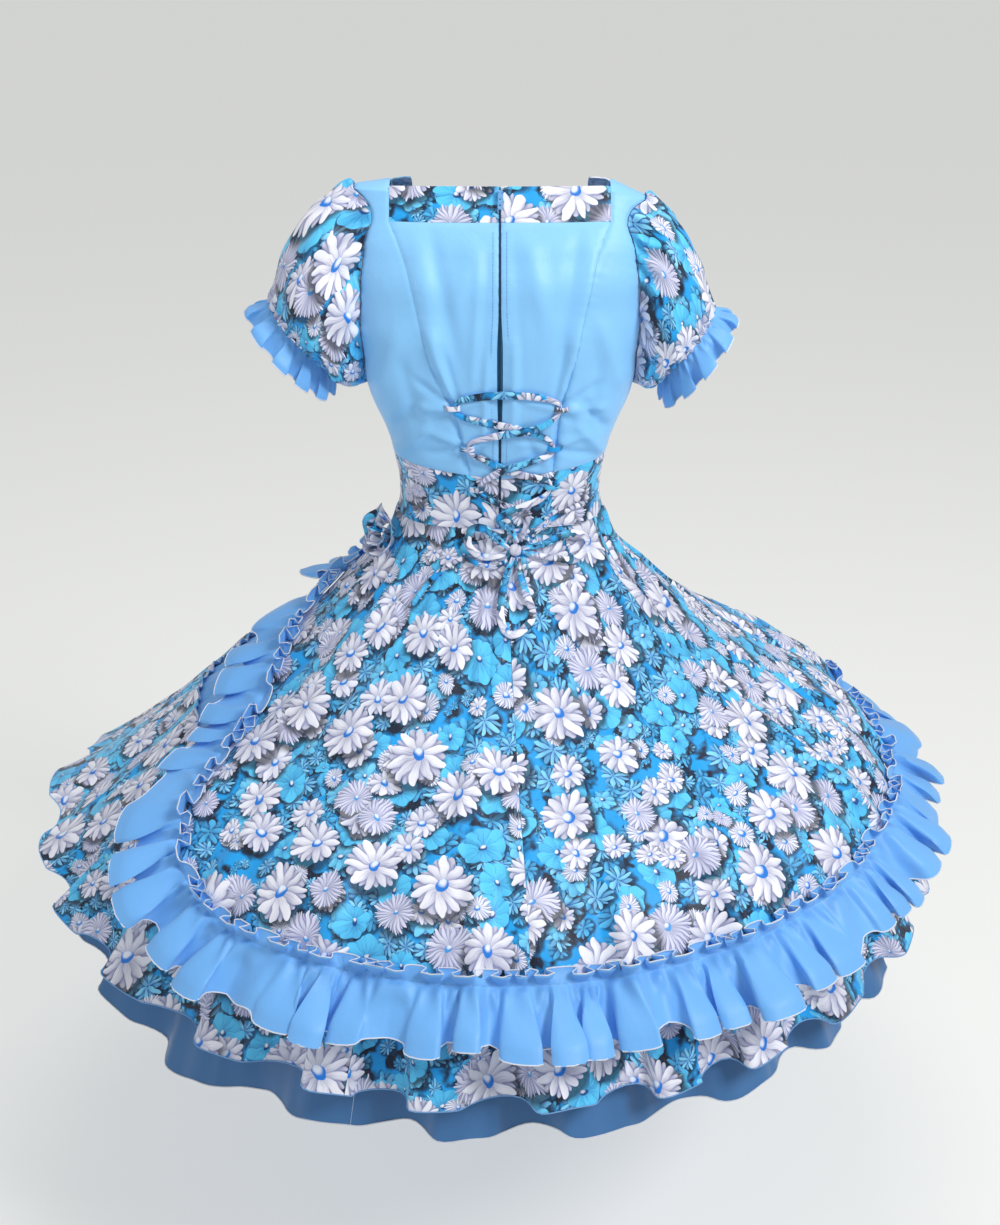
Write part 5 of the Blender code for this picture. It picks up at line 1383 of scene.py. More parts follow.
def overskirt_lift(angle: Array, length: Array) -> Array:
    """The overskirt's whole relief: broad folds, sharp ones, waist creases and a slow uneven swell."""
    swell = 0.0022 * drift(angle * 0.01 + length * 0.35, (0.17, 0.11, 0.073), 5) * ramp(length / 0.12)
    return (fold_lift(OVERSKIRT_FOLDS, angle, length) + fold_lift(SHARP_FOLDS, angle, length)
            + creased(WAIST_CREASES, angle, length) + swell)


def overskirt_angles(count: int) -> Array:
    """The angles of evenly spaced places along the overskirt's free edge, in degrees."""
    angle = SLIT_ANGLE + np.linspace(0, 360, 2881)
    edge = skirt(np.radians(angle), edge_length(angle), 0.0)
    along = walked(edge)
    return np.interp(np.linspace(0, along[-1], count + 1), along, angle)


@dataclass
class Ruffle:
    """A gathered strip sewn on a line: a header that stands above its stitching and a fall below it.

    The strip meanders: it goes out and in by a sine of its phase and slides to and fro along the line by a
    sine of twice the phase, so its waves bulge past each other as cloth does. Near the stitching, finer
    gathers take over.
    """

    waves: float
    depth: float
    slide: float
    seed: int

    def phase(self, walk: Array) -> Array:
        """The wave's phase along the line, uneven in length."""
        share = walk / walk[-1]
        wander = 2.6 * drift(share, (0.31, 0.17, 0.071, 0.043), self.seed)
        return 2 * pi * self.waves * share + wander

    def height(self, walk: Array) -> Array:
        """How big the waves are along the line, from about 0.6 to 1.4."""
        return 1.00 + 0.28 * drift(walk / walk[-1], (0.083, 0.037, 0.19), self.seed + 1)


@dataclass
class Overskirt:
    """The flowered overskirt, open at the left hip, and the blue ruffle along its whole free edge."""

    room: Workroom
    columns: int = 640
    rows: int = 52
    gores: tuple[tuple[str, int, int], ...] = (
        ("overskirt_back_left", 0, 200),
        ("overskirt_back_right", 200, 310),
        ("overskirt_right", 310, 380),
        ("overskirt_front_right", 380, 460),
        ("overskirt_front_left", 460, 640),
    )
    ruffle_parts: int = 192
    ruffle_ends: tuple[int, ...] = (3, 48, 96, 144, 189)
    ruffle_columns: int = 1536
    fall: float = 0.072
    header: float = 0.018
    cut_depth: float = 0.106
    curl_pitch: float = 0.034

    def build(self) -> None:
        """Makes the gores, the ruffle and its serged edges."""
        angle = overskirt_angles(self.columns)[None, :]
        length = rows_with(0, 1, self.rows, (0.004, 0.996)) * edge_length(angle)
        for number, (name, start, end) in enumerate(self.gores):
            part = slice(start, end + 1)
            turn, walk = angle[:, part], length[:, part]
            grid = skirt(np.radians(turn), walk, overskirt_lift(turn, walk))
            hung_panel(self.room, name, grid, turn, walk, FLOWERED, 0.0012, (1.7 * number, 2.3 * number))
        self.edge_ruffle()
        LOG.info("overskirt made")

    def edge_ruffle(self) -> None:
        """The blue ruffle: its stitching follows the overskirt's edge and its fall hangs over the flounce."""
        count = self.ruffle_columns
        angle = overskirt_angles(count)
        length = edge_length(angle)
        edge = skirt(np.radians(angle), length, overskirt_lift(angle, length))
        above = skirt(np.radians(angle), length - 0.006, overskirt_lift(angle, length - 0.006))
        along = self.eased(unit(np.gradient(edge, axis=0)), 40)
        out = self.eased(unit(np.cross(unit(edge - above), along)), 16)
        down = unit(np.cross(along, out))
        walk = walked(edge)
        style = Ruffle(64, 0.0330, 0.0080, 17)
        phase, size = style.phase(walk), style.height(walk)
        turn = np.radians(np.minimum(turn_from(angle, SLIT_ANGLE), 90.0))
        radius = np.hypot(edge[:, 0], edge[:, 1])
        width = np.clip(0.75 * radius * np.sin(turn), 0.010, self.fall)
        narrow = width / self.fall
        share = rows_with(-1, 0, 8, (*np.linspace(0, 1, 21), -0.95, -0.03, 0.015, 0.985))
        falling, rising = np.clip(share, 0, 1), np.clip(-share, 0, 1)
        grow = ramp(falling * 1.25 + 0.05) * (falling > 0)
        curl = 2 * pi * walk / self.curl_pitch + 1.8 * drift(walk, (0.23, 0.14, 0.09), 3)
        finer = 3 * phase + 1.2 * drift(walk, (0.09, 0.05), 4)
        fine = 2 * phase + 0.8 * drift(walk, (0.11, 0.07), 6)
        lobe = (0.5 + 0.5 * np.sin(phase)) ** 0.6
        pinch = ramp(falling / 0.08) * np.exp(-(((falling - 0.16) / 0.20) ** 2))
        lift = (0.0022 + falling * 0.006 * narrow + 0.0026 * pinch * (1 + np.sin(finer))
                + 0.0016 * np.exp(-((falling - 0.4) / 0.25) ** 2) * np.sin(fine))
        swing = grow * style.depth * size * narrow * lobe
        slide = -grow * size * narrow * (style.slide * np.sin(2 * phase) + 0.0050 * np.cos(phase))
        frill = ramp(rising * 1.1)
        tall = self.header * np.minimum(1, narrow * 1.5)
        bold = 1 + 0.30 * drift(walk, (0.13, 0.07), 8)
        lift = lift + frill * (0.0080 + 0.0074 * bold * np.sin(curl)) + rising * 0.0015
        slide = slide - frill * 0.0078 * bold * np.sin(2 * curl)
        uneven = 1 + 0.05 * drift(walk, (0.21, 0.11, 0.06), 9)
        drop = 0.86 * falling * width * uneven - rising * tall * (0.80 - 0.25 * np.sin(curl))
        level_out = unit(out * [1.0, 1.0, 0.0])
        grid = (edge + down * drop[..., None] + out * lift[..., None] + level_out * swing[..., None]
                + along * slide[..., None])
        cloth_walk = walked(grid[-1])
        places = paired(cloth_walk[None, :], -self.cut_depth * share)
        ends = [end * count // self.ruffle_parts for end in self.ruffle_ends]
        for number, (start, end) in enumerate(zip(ends[:-1], ends[1:]), 1):
            part = slice(start, end + 1)
            name = f"overskirt_ruffle_{number}"
            piece = trimmed(grid[:, part], top=False, bottom=False)
            self.room.sewn(name, piece, places[:, part], RUFFLE_SATIN, "gathered")
            self.room.tube(name + "_serging", [piece[-1, ::2], piece[0, ::2]], SERGED_RADIUS, SERGING)
            self.room.tube(name + "_stitching", self.stitches(piece[8]), 0.00045, STITCHING, 4)

    @staticmethod
    def stitches(row: Array) -> list[Array]:
        """Short threads along a row of points: two steps on, one off."""
        return [row[start : start + 3] for start in range(0, len(row) - 3, 4)]

    @staticmethod
    def eased(vectors: Array, reach: int) -> Array:
        """Directions averaged over a reach of neighbours, with the ends repeated."""
        kernel = np.hanning(2 * reach + 3)[1:-1]
        kernel /= kernel.sum()
        padded = np.pad(vectors, ((reach, reach), (0, 0)), mode="edge")
        return unit(np.stack([np.convolve(padded[:, i], kernel, mode="valid") for i in range(3)], -1))


@dataclass(frozen=True)
class Hang:
    """How far a flounce has gone out and down at a share of its depth."""

    share: tuple[float, ...]
    out: tuple[float, ...]
    down: tuple[float, ...]


FLOUNCE_HANG = Hang((0.0, 0.33, 0.66, 1.0), (0.0, 0.057, 0.115, 0.160), (0.0, 0.060, 0.130, 0.200))
LOW_HANG = Hang((0.0, 0.33, 0.66, 1.0), (0.0, 0.047, 0.098, 0.143), (0.0, 0.085, 0.168, 0.262))


@dataclass
class Underskirt:
    """The blue underskirt's panels, its flowered flounce and the lowest blue flounce beneath that."""

    room: Workroom
    end: float = 0.422
    inset: float = 0.012
    columns: int = 960
    header: float = 0.018
    waves: int = 26
    low_waves: int = 22
    gathers: int = 104
    hip: float = -92.0

    def build(self) -> None:
        """Makes the panels and both flounces."""
        self.panels()
        self.flounces()
        LOG.info("underskirt made")

    def surface(self, angle: Array, length: Array) -> Array:
        """The underskirt's surface: the skirt's own, set in, with shallow folds and long soft creases."""
        inset = 0.0024 + self.inset * np.minimum(1, length / 0.09)
        fold = 0.0035 * np.sin(np.radians(angle) * 11 + 0.8) * ramp((length - 0.15) / 0.2)
        soft = 0.0022 * drift(angle * 0.01 - length * 0.25, (0.09, 0.061, 0.037), 23) * ramp(length / 0.08)
        return skirt(np.radians(angle), length, fold + soft - inset)

    def panels(self) -> None:
        """The four panels."""
        names = ("back_left", "back_right", "front_right", "front_left")
        for number, word in enumerate(names):
            angle = (SLIT_ANGLE + 90 * number + np.linspace(0, 90, 91))[None, :]
            length = np.linspace(0, self.end, 40)[:, None]
            grid = self.surface(angle, length)
            hung_panel(self.room, f"underskirt_{word}", grid, angle, length, UNDER_SATIN, 0.0010,
                       (1.9 * number, 0.7))

    def hang(self, seam: Array, table: Hang, share: Array, wave: Array, fine: Array, overlap: float,
             sag: float = 0.0) -> Array:
        """A flounce's fall, in radial waves: raised over the left hip and sagging behind it.

        Args:
            seam: the points of its stitching.
            table: how far it goes out and down.
            share: shares of its depth, as a column.
            wave: the phase of its waves along the seam.
            fine: the phase of its gathers at the seam.
            overlap: how far its waves bulge past each other.
            sag: how far it sags behind the hip.

        Returns:
            Its grid of points.
        """
        radial = unit(seam * [1.0, 1.0, 0.0])
        sideways = unit(np.cross(radial, [0.0, 0.0, 1.0]))
        angle = np.degrees(np.arctan2(seam[:, 0], -seam[:, 1]))
        raised = np.exp(-((turn_from(angle, self.hip) / 34.0) ** 2))
        out = smooth(share, table.share, table.out) + 0.050 * raised * share**2
        out = out + 0.014 * share * np.sin(wave) + 0.0045 * share * np.sin(2 * wave + 0.7)
        out = out + 0.0030 * np.exp(-((share - 0.10) / 0.16) ** 2) * ramp(share / 0.04) * np.sin(fine)
        sagging = sag * np.exp(-((turn_from(angle, -46.0) / 19.0) ** 2))
        down = smooth(share, table.share, table.down) + (sagging - 0.045 * raised) * share**2
        slide = overlap * ramp(share * 1.2) * np.sin(2 * wave)
        grid = seam + radial * out[..., None] + sideways * slide[..., None]
        grid[..., 2] -= down
        return grid

    def flounces(self) -> None:
        """The flowered flounce with its header frill, and the lowest flounce."""
        angle = SLIT_ANGLE + np.linspace(0, 360, self.columns + 1)
        edge = self.surface(angle, np.full_like(angle, self.end))
        above = self.surface(angle, np.full_like(angle, self.end - 0.02))
        uphill = unit(above - edge)
        out = ring_facing(np.stack([above, edge]))[1]
        at = np.linspace(0, 2 * pi, self.columns + 1)
        wave = self.waves * at + 0.9 * np.sin(3 * at) + 0.5 * np.sin(8 * at)
        fine = self.gathers * at + 2.0 * np.sin(5 * at) + 1.2 * np.sin(13 * at)
        seam = edge + uphill * 0.001 + out * 0.0014
        rise = rows_with(1 / 7, 1, 7, (0.06,))[::-1]
        header = (seam + uphill * (self.header * rise)[..., None]
                  + out * (ramp(rise) * (0.0042 + 0.0032 * np.sin(fine)))[..., None])
        share = rows_with(0, 1, 22, (0.01, 0.99))
        fall = self.hang(seam, FLOUNCE_HANG, share, wave, fine, 0.0085)
        self.strip("flounce", np.concatenate([header, fall]), FLOWERED, STITCHING, True)
        low_wave = self.low_waves * at + 1.1 * np.sin(2 * at) + 0.6 * np.sin(7 * at)
        low_seam = edge + uphill * 0.006 - out * 0.0019
        share = rows_with(0, 1, 18, (0.01, 0.99))
        low = self.hang(low_seam, LOW_HANG, share, low_wave, fine * 0.8, 0.0040, 0.036)
        self.strip("low_flounce", low, SHADED_LOW_SATIN, SERGING, False)

    def strip(self, base: str, grid: Array, kind: SatinFinish, thread: ThreadFinish, header: bool) -> None:
        """A flounce in four joined lengths, with its serged edges.

        Args:
            base: the start of its nodes' names.
            grid: the whole ring, its last column repeating its first.
            kind: its finish.
            thread: its serging's finish.
            header: whether a header stands above its stitching, with a serged edge of its own.
        """
        normals = ring_facing(grid)
        walk = walked(grid[-1])
        down = walked(grid, 0).mean(axis=1)[:, None]
        places = paired(walk[None, :], -down)
        quarter = (grid.shape[1] - 1) // 4
        for number in range(4):
            part = slice(number * quarter, (number + 1) * quarter + 1)
            piece = trimmed(grid[:, part], top=False, bottom=False)
            name = f"{base}_{number + 1}"
            self.room.sewn(name, piece, places[:, part] + number * 0.83, kind, "gathered",
                           normals=normals[:, part])
            lines = [piece[-1, ::2]] + ([piece[0, ::2]] if header else [])
            self.room.tube(name + "_serging", lines, SERGED_RADIUS, thread, slot=kind.slot)


# Trimmings


@dataclass(frozen=True)
class LacePoint:
    """A point of the lace: x and height of the cloth under it, its lift off that cloth and its width."""

    x: float
    height: float
    lift: float
    width: float


def on_back(x: float, height: float, lift: float) -> tuple[Array, Array]:
    """A point over the back of the bodice or skirt, lifted off the cloth, and the outward direction there."""
    if height > WAIST_BOTTOM:
        angle = angle_at_x(np.array(x), np.array(height))
        out = torso_out(angle, np.array(height))
        return torso(angle, np.array(height)) + out * lift, out
    length = np.interp(-height, [-z for z in SKIRT_HEIGHT], SKIRT_WALK)
    radius = smooth(length, SKIRT_WALK, SKIRT_RADIUS)
    angle = np.arcsin(x / radius)
    low = skirt(angle, length, 0.0)
    out = unit(skirt(angle, length, 0.01) - low)
    return low + out * lift, out


ROSETTE_ANGLE = -77.0
ROSETTE_DROP = 0.038
ROSETTE_STANDOFF = 0.0051
ROSETTE_AXIS = (-0.72, -0.58, 0.38)
ROSETTE_TURNS = 2.2
ROSETTE_WAVES = 11
ROSETTE_GATHERS = 31
LOOP_REACH = 0.0095
LOOP_RISE = 0.0066
LOOP_HALF_WIDTH = 0.0036
LACE_THICKNESS = 0.0036
LACE_END_RADIUS = 0.0034
LACE_LOOPS = {
    "left_top": (-0.0580, -0.247),
    "right_top": (0.0755, -0.249),
    "left_middle": (-0.0410, -0.300),
    "right_middle": (0.0680, -0.301),
    "left_bottom": (-0.0285, -0.356),
    "right_bottom": (0.0655, -0.354),
}
LACE = table(LacePoint, (
    (0.0215, -0.4265, 0.0030, 0.005), (0.0150, -0.4140, 0.0034, 0.007), (-0.0010, -0.3990, 0.0030, 0.009),
    (0.0100, -0.3865, 0.0060, 0.009), (0.0300, -0.3785, 0.0066, 0.010), (0.0490, -0.3710, 0.0040, 0.009),
    (0.0590, -0.3630, 0.0030, 0.006), (0.0635, -0.3540, 0.0030, 0.004), (0.0590, -0.3450, 0.0032, 0.006),
    (0.0430, -0.3400, 0.0030, 0.009), (0.0240, -0.3360, 0.0024, 0.010), (0.0020, -0.3270, 0.0024, 0.010),
    (-0.0200, -0.3150, 0.0028, 0.009), (-0.0340, -0.3090, 0.0030, 0.006), (-0.0390, -0.3000, 0.0030, 0.004),
    (-0.0340, -0.2910, 0.0034, 0.006), (-0.0010, -0.2810, 0.0060, 0.010), (0.0300, -0.2755, 0.0072, 0.010),
    (0.0540, -0.2680, 0.0060, 0.009), (0.0690, -0.2580, 0.0034, 0.006), (0.0735, -0.2490, 0.0030, 0.004),
    (0.0690, -0.2400, 0.0036, 0.006), (0.0480, -0.2325, 0.0050, 0.009), (0.0150, -0.2290, 0.0060, 0.010),
    (-0.0150, -0.2300, 0.0056, 0.010), (-0.0370, -0.2340, 0.0044, 0.009), (-0.0510, -0.2380, 0.0032, 0.006),
    (-0.0560, -0.2470, 0.0030, 0.004), (-0.0510, -0.2560, 0.0032, 0.006), (-0.0250, -0.2640, 0.0028, 0.010),
    (0.0040, -0.2700, 0.0024, 0.010), (0.0330, -0.2770, 0.0022, 0.010), (0.0520, -0.2850, 0.0028, 0.009),
    (0.0615, -0.2920, 0.0030, 0.006), (0.0660, -0.3010, 0.0030, 0.004), (0.0615, -0.3100, 0.0032, 0.006),
    (0.0460, -0.3150, 0.0044, 0.009), (0.0240, -0.3220, 0.0062, 0.010), (0.0010, -0.3300, 0.0066, 0.010),
    (-0.0140, -0.3400, 0.0044, 0.009), (-0.0220, -0.3470, 0.0030, 0.006), (-0.0265, -0.3560, 0.0030, 0.004),
    (-0.0220, -0.3650, 0.0030, 0.006), (-0.0060, -0.3740, 0.0026, 0.009), (0.0160, -0.3825, 0.0024, 0.009),
    (0.0330, -0.3930, 0.0026, 0.009), (0.0330, -0.4050, 0.0028, 0.008), (0.0270, -0.4170, 0.0090, 0.006),
))
BOW_KNOT = LacePoint(0.0185, -0.4355, 0.0069, 0.016)
BOW_LOOPS = {
    "bow_loop_left": table(LacePoint, (
        (0.0106, -0.4335, 0.0078, 0.005), (-0.0050, -0.4200, 0.0110, 0.009),
        (-0.0200, -0.4080, 0.0130, 0.010), (-0.0330, -0.4130, 0.0120, 0.010),
        (-0.0370, -0.4300, 0.0100, 0.010), (-0.0230, -0.4440, 0.0090, 0.009),
        (-0.0050, -0.4440, 0.0090, 0.008), (0.0106, -0.4385, 0.0078, 0.005),
    )),
    "bow_loop_right": table(LacePoint, (
        (0.0264, -0.4340, 0.0078, 0.005), (0.0510, -0.4300, 0.0120, 0.009),
        (0.0760, -0.4220, 0.0140, 0.010), (0.0980, -0.4280, 0.0120, 0.010),
        (0.1050, -0.4430, 0.0100, 0.010), (0.0900, -0.4550, 0.0090, 0.010),
        (0.0640, -0.4500, 0.0090, 0.009), (0.0264, -0.4385, 0.0078, 0.005),
    )),
    "bow_loop_hanging": table(LacePoint, (
        (0.0155, -0.4455, 0.0090, 0.005), (0.0080, -0.4640, 0.0080, 0.009),
        (0.0020, -0.4860, 0.0070, 0.010), (0.0010, -0.5060, 0.0065, 0.010),
        (0.0100, -0.5190, 0.0065, 0.010), (0.0270, -0.5170, 0.0065, 0.010),
        (0.0400, -0.5030, 0.0065, 0.010), (0.0320, -0.4840, 0.0075, 0.010),
        (0.0250, -0.4640, 0.0085, 0.008), (0.0220, -0.4455, 0.0090, 0.005),
    )),
}
LACE_ENDS = {
    "lace_end_left": table(LacePoint, (
        (0.0085, -0.4480, 0.0060, 0.007), (-0.0080, -0.4560, 0.0058, 0.007),
        (-0.0270, -0.4530, 0.0056, 0.007), (-0.0440, -0.4480, 0.0056, 0.007),
        (-0.0640, -0.4580, 0.0060, 0.007), (-0.0870, -0.4760, 0.0064, 0.007),
        (-0.1090, -0.5020, 0.0060, 0.007),
    )),
    "lace_end_right": table(LacePoint, (
        (0.0300, -0.4240, 0.0140, 0.007), (0.0450, -0.4120, 0.0125, 0.007),
        (0.0640, -0.3980, 0.0080, 0.007), (0.0840, -0.3880, 0.0050, 0.007),
        (0.1040, -0.3830, 0.0043, 0.007),
    )),
}


@dataclass
class Trimmings:
    """The hip rosette, the six loops, the crossed lace with its knot and bow, and its two free ends."""

    room: Workroom
    sides: int = 14

    def build(self) -> None:
        """Makes every trimming."""
        self.rosette()
        self.loops()
        self.lacing()
        LOG.info("trimmings made")

    def rosette(self) -> None:
        """One strip wound twice round from the middle out, gathered at its foot, with a waved lip."""
        at = np.linspace(0, 1, 361)
        turn = (2 * pi * ROSETTE_TURNS * at)[None, :, None]
        axis = unit(np.array(ROSETTE_AXIS))
        side = unit(np.cross(axis, [0.0, 0.0, 1.0]))
        up = np.cross(side, axis)
        foot_place = skirt(np.array(radians(ROSETTE_ANGLE)), np.array(ROSETTE_DROP), 0.0)
        centre = foot_place + axis * ROSETTE_STANDOFF
        spoke = np.cos(turn) * side + np.sin(turn) * up
        share = np.linspace(0, 1, 13)[:, None, None]
        along = at[None, :, None]
        wave = np.sin(ROSETTE_WAVES * 2 * pi * along + 0.5)
        fine = np.sin(ROSETTE_GATHERS * 2 * pi * along + 2 * np.sin(9 * along))
        foot = 0.004 + 0.0088 * ROSETTE_TURNS * along
        out = foot + share * (0.005 + 0.010 * along) + 0.0016 * wave * share**2
        out = out + 0.0006 * fine * np.exp(-((share - 0.15) / 0.2) ** 2)
        high = (0.019 - 0.007 * along) * np.sin(share * 1.45) + 0.003 * wave * share**2
        grid = centre + spoke * out + axis * high
        u = np.linspace(0, 0.42, at.size)[None, :]
        places = paired(u + 0.3, 0.021 * share[..., 0])
        self.room.sewn("hip_rosette", grid, places, FLOWERED, "gathered", faded=False)
        self.room.tube("hip_rosette_edge", [grid[-1]], 0.0006, STITCHING, 4)

    def loops(self) -> None:
        """Six small cloth arches, rolled at their edges, each over a back seam."""
        for number, (word, (x, height)) in enumerate(LACE_LOOPS.items()):
            z = np.array(height)
            angle = angle_at_x(np.array(x), z)
            point = torso(angle, z)
            across = unit(torso(angle + 0.001, z) - point)
            down = unit(torso(angle, z - 0.001) - point)
            out = unit(np.cross(down, across))
            reach = np.linspace(pi, 0, 25)[None, :, None]
            drop = np.linspace(-1, 1, 11)[:, None, None]
            roll = 0.0005 * drop**2
            grid = (point + across * (LOOP_REACH * np.cos(reach))
                    + out * (0.0012 + (LOOP_RISE - roll) * np.sin(reach))
                    + down * (LOOP_HALF_WIDTH * drop * (1 - 0.10 * np.sin(reach))))
            places = flat_places(grid, (0.7 * number, 0.4))
            self.room.sewn("lace_loop_" + word, grid, places, FLOWERED, "stretched", (0.0235, 0.010))

    def lacing(self) -> None:
        """The lace, its knot and bow loops, and its free ends."""
        lace = self.flat_lace("lace", LACE, 6)
        knot = self.knot()
        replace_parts(lace, "lace")
        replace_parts(knot, "bow_knot")
        for name, table in BOW_LOOPS.items():
            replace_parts(self.flat_lace(name, table, 10), name)
        for name, table in LACE_ENDS.items():
            self.lace_end(name, table)

    def flat_lace(self, name: str, table: Sequence[LacePoint], parts: int) -> bpy.types.Object:
        """A stuffed fabric tube, flattened to the cloth below, that narrows where a loop holds it.

        Args:
            name: the node that it stands for.
            table: the points that it runs through.
            parts: how many steps lie between two of those points.

        Returns:
            The object.
        """
        placed = [on_back(row.x, row.height, row.lift) for row in table]
        centre = curve_through(np.array([point for point, _ in placed]), parts)
        out = unit(curve_through(np.array([direction for _, direction in placed]), parts))
        width = curve_through(np.array([[row.width] for row in table]), parts)
        along = unit(np.gradient(centre, axis=0))
        across = unit(np.cross(along, out))
        out = np.cross(across, along)
        walk = walked(centre)
        uneven = 1 + 0.05 * drift(walk, (0.031, 0.017, 0.011), len(name))[:, None]
        turn = np.linspace(0, 2 * pi, self.sides + 1)
        wide = np.cos(turn)[None, :, None] * (across * width / 2 * uneven)[:, None]
        thick = np.sin(turn)[None, :, None] * (out * LACE_THICKNESS / 2)[:, None]
        pinch = 1 + 0.10 * np.sin(4 * turn)[None, :, None] * np.sin(walk * 700)[:, None, None]
        grid = centre[:, None] + wide + thick * pinch
        places = paired(turn[None, :] * 0.0032 + 0.4, walk[:, None])
        return self.closed_tube(name + "_cloth", grid, places)

    def closed_tube(self, name: str, grid: Array, places: Array) -> bpy.types.Object:
        """A tube of print cloth with closed ends, from rings whose last column repeats their first."""
        first, last = (np.repeat(ring.mean(axis=1, keepdims=True), grid.shape[1], 1)
                       for ring in (grid[:1], grid[-1:]))
        grid = np.concatenate([first, grid, last])
        places = np.concatenate([places[:1], places, places[-1:]])
        rows, columns = grid.shape[:2]
        number = np.arange(rows * (columns - 1)).reshape(rows, columns - 1)
        number[0], number[-1] = number[0, 0], number[-1, 0]
        number = np.concatenate([number, number[:, :1]], axis=1)
        a, b, c, d = number[:-1, :-1], number[:-1, 1:], number[1:, 1:], number[1:, :-1]
        upper = np.stack([a[1:], c[1:], b[1:]], -1).reshape(-1, 3)
        lower = np.stack([a[:-1], d[:-1], c[:-1]], -1).reshape(-1, 3)
        points = grid[:, :-1].reshape(-1, 3)
        flat = places[:, :-1].reshape(-1, 2)
        kept, faces = np.unique(np.concatenate([upper, lower]), return_inverse=True)
        return self.room.piece(name, points[kept], faces.reshape(-1, 3), FLOWERED, flat[kept])

    def knot(self) -> bpy.types.Object:
        """The bow's knot: a squashed ball with the wrap's ridges wound over it."""
        centre, out = on_back(BOW_KNOT.x, BOW_KNOT.height, BOW_KNOT.lift)
        across = unit(np.cross([0.0, 0.0, 1.0], out))
        up = np.cross(out, across)
        rise = np.linspace(-pi / 2, pi / 2, 35)[1:-1, None]
        turn = np.linspace(0, 2 * pi, 49)[None, :]
        ridge = 1 + 0.07 * np.abs(np.sin(2.5 * rise + 0.7 * np.sin(turn)))
        ridge = ridge + 0.03 * np.sin(3 * turn + 4 * rise)
        half = BOW_KNOT.width / 2 * ridge * 0.95
        grid = (centre + across * (half * np.cos(rise) * np.cos(turn))[..., None]
                + out * (0.75 * half * np.cos(rise) * np.sin(turn))[..., None]
                + up * (half * np.sin(rise))[..., None])
        places = paired(turn * 0.006 + 0.9, rise * 0.006)
        return self.closed_tube("bow_knot_cloth", grid[::-1, ::-1], places)

    def lace_end(self, name: str, table: Sequence[LacePoint]) -> None:
        """A free end of the lace: a soft round tube of print cloth, cut off plain."""
        route = curve_through(np.array([on_back(row.x, row.height, row.lift)[0] for row in table]), 2)
        centre = curve_through(route, 8)
        along = unit(np.gradient(centre, axis=0))
        across = unit(np.cross(along, np.array([0.0, -1.0, 0.3])))
        out = np.cross(across, along)
        turn = np.linspace(0, 2 * pi, self.sides + 1)
        walk = walked(centre)
        total = float(walk[-1])
        radius = LACE_END_RADIUS * (1 + 0.05 * drift(walk, (0.029, 0.013), 8))
        radius = radius * (0.80 + 0.20 * ramp((total - walk) / 0.003))
        ring = np.cos(turn)[None, :, None] * across[:, None] + np.sin(turn)[None, :, None] * out[:, None]
        grid = centre[:, None] + ring * radius[:, None, None]
        places = paired(turn[None, :] * LACE_END_RADIUS + 1.3, walk[:, None])
        thing = self.closed_tube(name + "_cloth", grid, places)
        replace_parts(thing, name)


# Studio


@dataclass(frozen=True)
class SoftLight:
    """A square studio light: where it stands, what it faces, its size, power and colour."""

    name: str
    place: tuple[float, float, float]
    aim: tuple[float, float, float]
    size: float
    power: float
    tint: tuple[float, float, float]


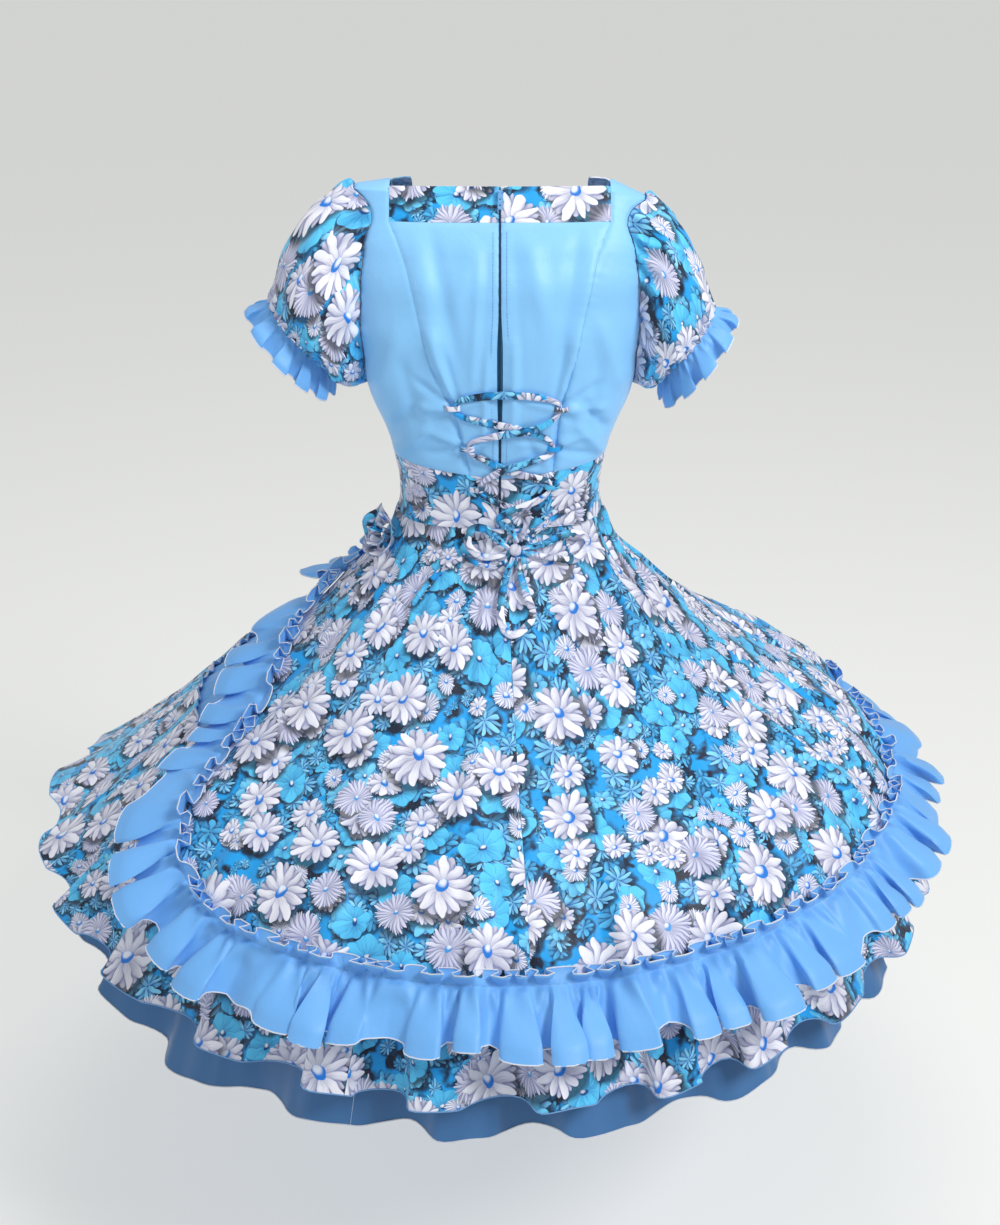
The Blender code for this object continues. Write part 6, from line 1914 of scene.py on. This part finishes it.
@dataclass
class Studio:
    """A pale seamless backdrop, soft lights and the camera of the photograph."""

    floor: float = -1.45
    floor_half: float = 60.0
    paper: Colour = (0.50, 0.50, 0.485, 1.0)
    paper_glow: Colour = (0.93, 0.945, 0.925, 1.0)
    air: Colour = (0.92, 0.93, 0.94, 1.0)
    air_strength: float = 0.36
    lens: float = 47.67
    sensor: float = 36.0
    camera_place: tuple[float, float, float] = (0.0, -2.0, 0.37)
    camera_down: float = 25.2
    lights: tuple[SoftLight, ...] = (
        SoftLight("key_light", (2.1, -2.0, 2.1), (0.0, 0.0, -0.45), 1.1, 94.0, (1.0, 0.99, 0.97)),
        SoftLight("fill_light", (-2.6, -1.7, 0.9), (0.0, 0.0, -0.5), 2.2, 14.0, (0.96, 0.98, 1.0)),
        SoftLight("top_light", (0.1, 0.3, 2.6), (0.0, 0.0, -0.6), 1.6, 34.0, (1.0, 1.0, 1.0)),
    )

    def build(self) -> None:
        """Makes the backdrop, the lights, the world and the camera."""
        self.backdrop()
        for light in self.lights:
            self.light(light)
        self.world()
        self.camera()
        bpy.context.scene.view_settings.view_transform = "Standard"
        LOG.info("studio made")

    def backdrop(self) -> None:
        """A pale grey sheet far below the dress."""
        half = self.floor_half
        mesh = bpy.data.meshes.new("studio_floor")
        corners = [(-half, -half, self.floor), (half, -half, self.floor), (half, half, self.floor),
                   (-half, half, self.floor)]
        mesh.from_pydata(corners, [], [(0, 1, 2, 3)])
        paint, n, shader = new_material("studio_paper")
        n.fill(shader, {"Base Color": self.paper, "Roughness": 0.9, "Emission Color": self.paper_glow,
                        "Emission Strength": 0.50})
        mesh.materials.append(paint)
        floor = bpy.data.objects.new("studio_floor", mesh)
        bpy.context.collection.objects.link(floor)

    @staticmethod
    def light(light: SoftLight) -> None:
        """Adds one soft light that faces its aim."""
        lamp = bpy.data.lights.new(light.name, "AREA")
        lamp.size = light.size
        lamp.energy = light.power
        lamp.color = light.tint
        thing = bpy.data.objects.new(light.name, lamp)
        thing.location = light.place
        gaze = Vector(light.aim) - Vector(light.place)
        thing.rotation_euler = gaze.to_track_quat("-Z", "Y").to_euler()
        bpy.context.collection.objects.link(thing)

    def world(self) -> None:
        """A pale even sky."""
        world = bpy.data.worlds.new("studio_air")
        world.use_nodes = True
        back = world.node_tree.nodes["Background"]
        back.inputs["Color"].default_value = self.air
        back.inputs["Strength"].default_value = self.air_strength
        bpy.context.scene.world = world

    def camera(self) -> None:
        """The photograph's camera: behind the dress, above it and looking down at it."""
        lens = bpy.data.cameras.new("photo_camera")
        lens.lens = self.lens
        lens.sensor_width = self.sensor
        lens.sensor_fit = "AUTO"
        thing = bpy.data.objects.new("photo_camera", lens)
        thing.location = self.camera_place
        thing.rotation_euler = (radians(90.0 - self.camera_down), 0.0, 0.0)
        bpy.context.collection.objects.link(thing)
        bpy.context.scene.camera = thing


def main() -> None:
    """Makes the dress and its studio."""
    room = Workroom()
    Bodice(room).build()
    Sleeve(room, "left", -1, LEFT_SLEEVE, 3).build()
    Sleeve(room, "right", 1, RIGHT_SLEEVE, 4).build()
    Overskirt(room).build()
    Underskirt(room).build()
    Trimmings(room).build()
    Studio().build()


if __name__ == "__main__":
    main()
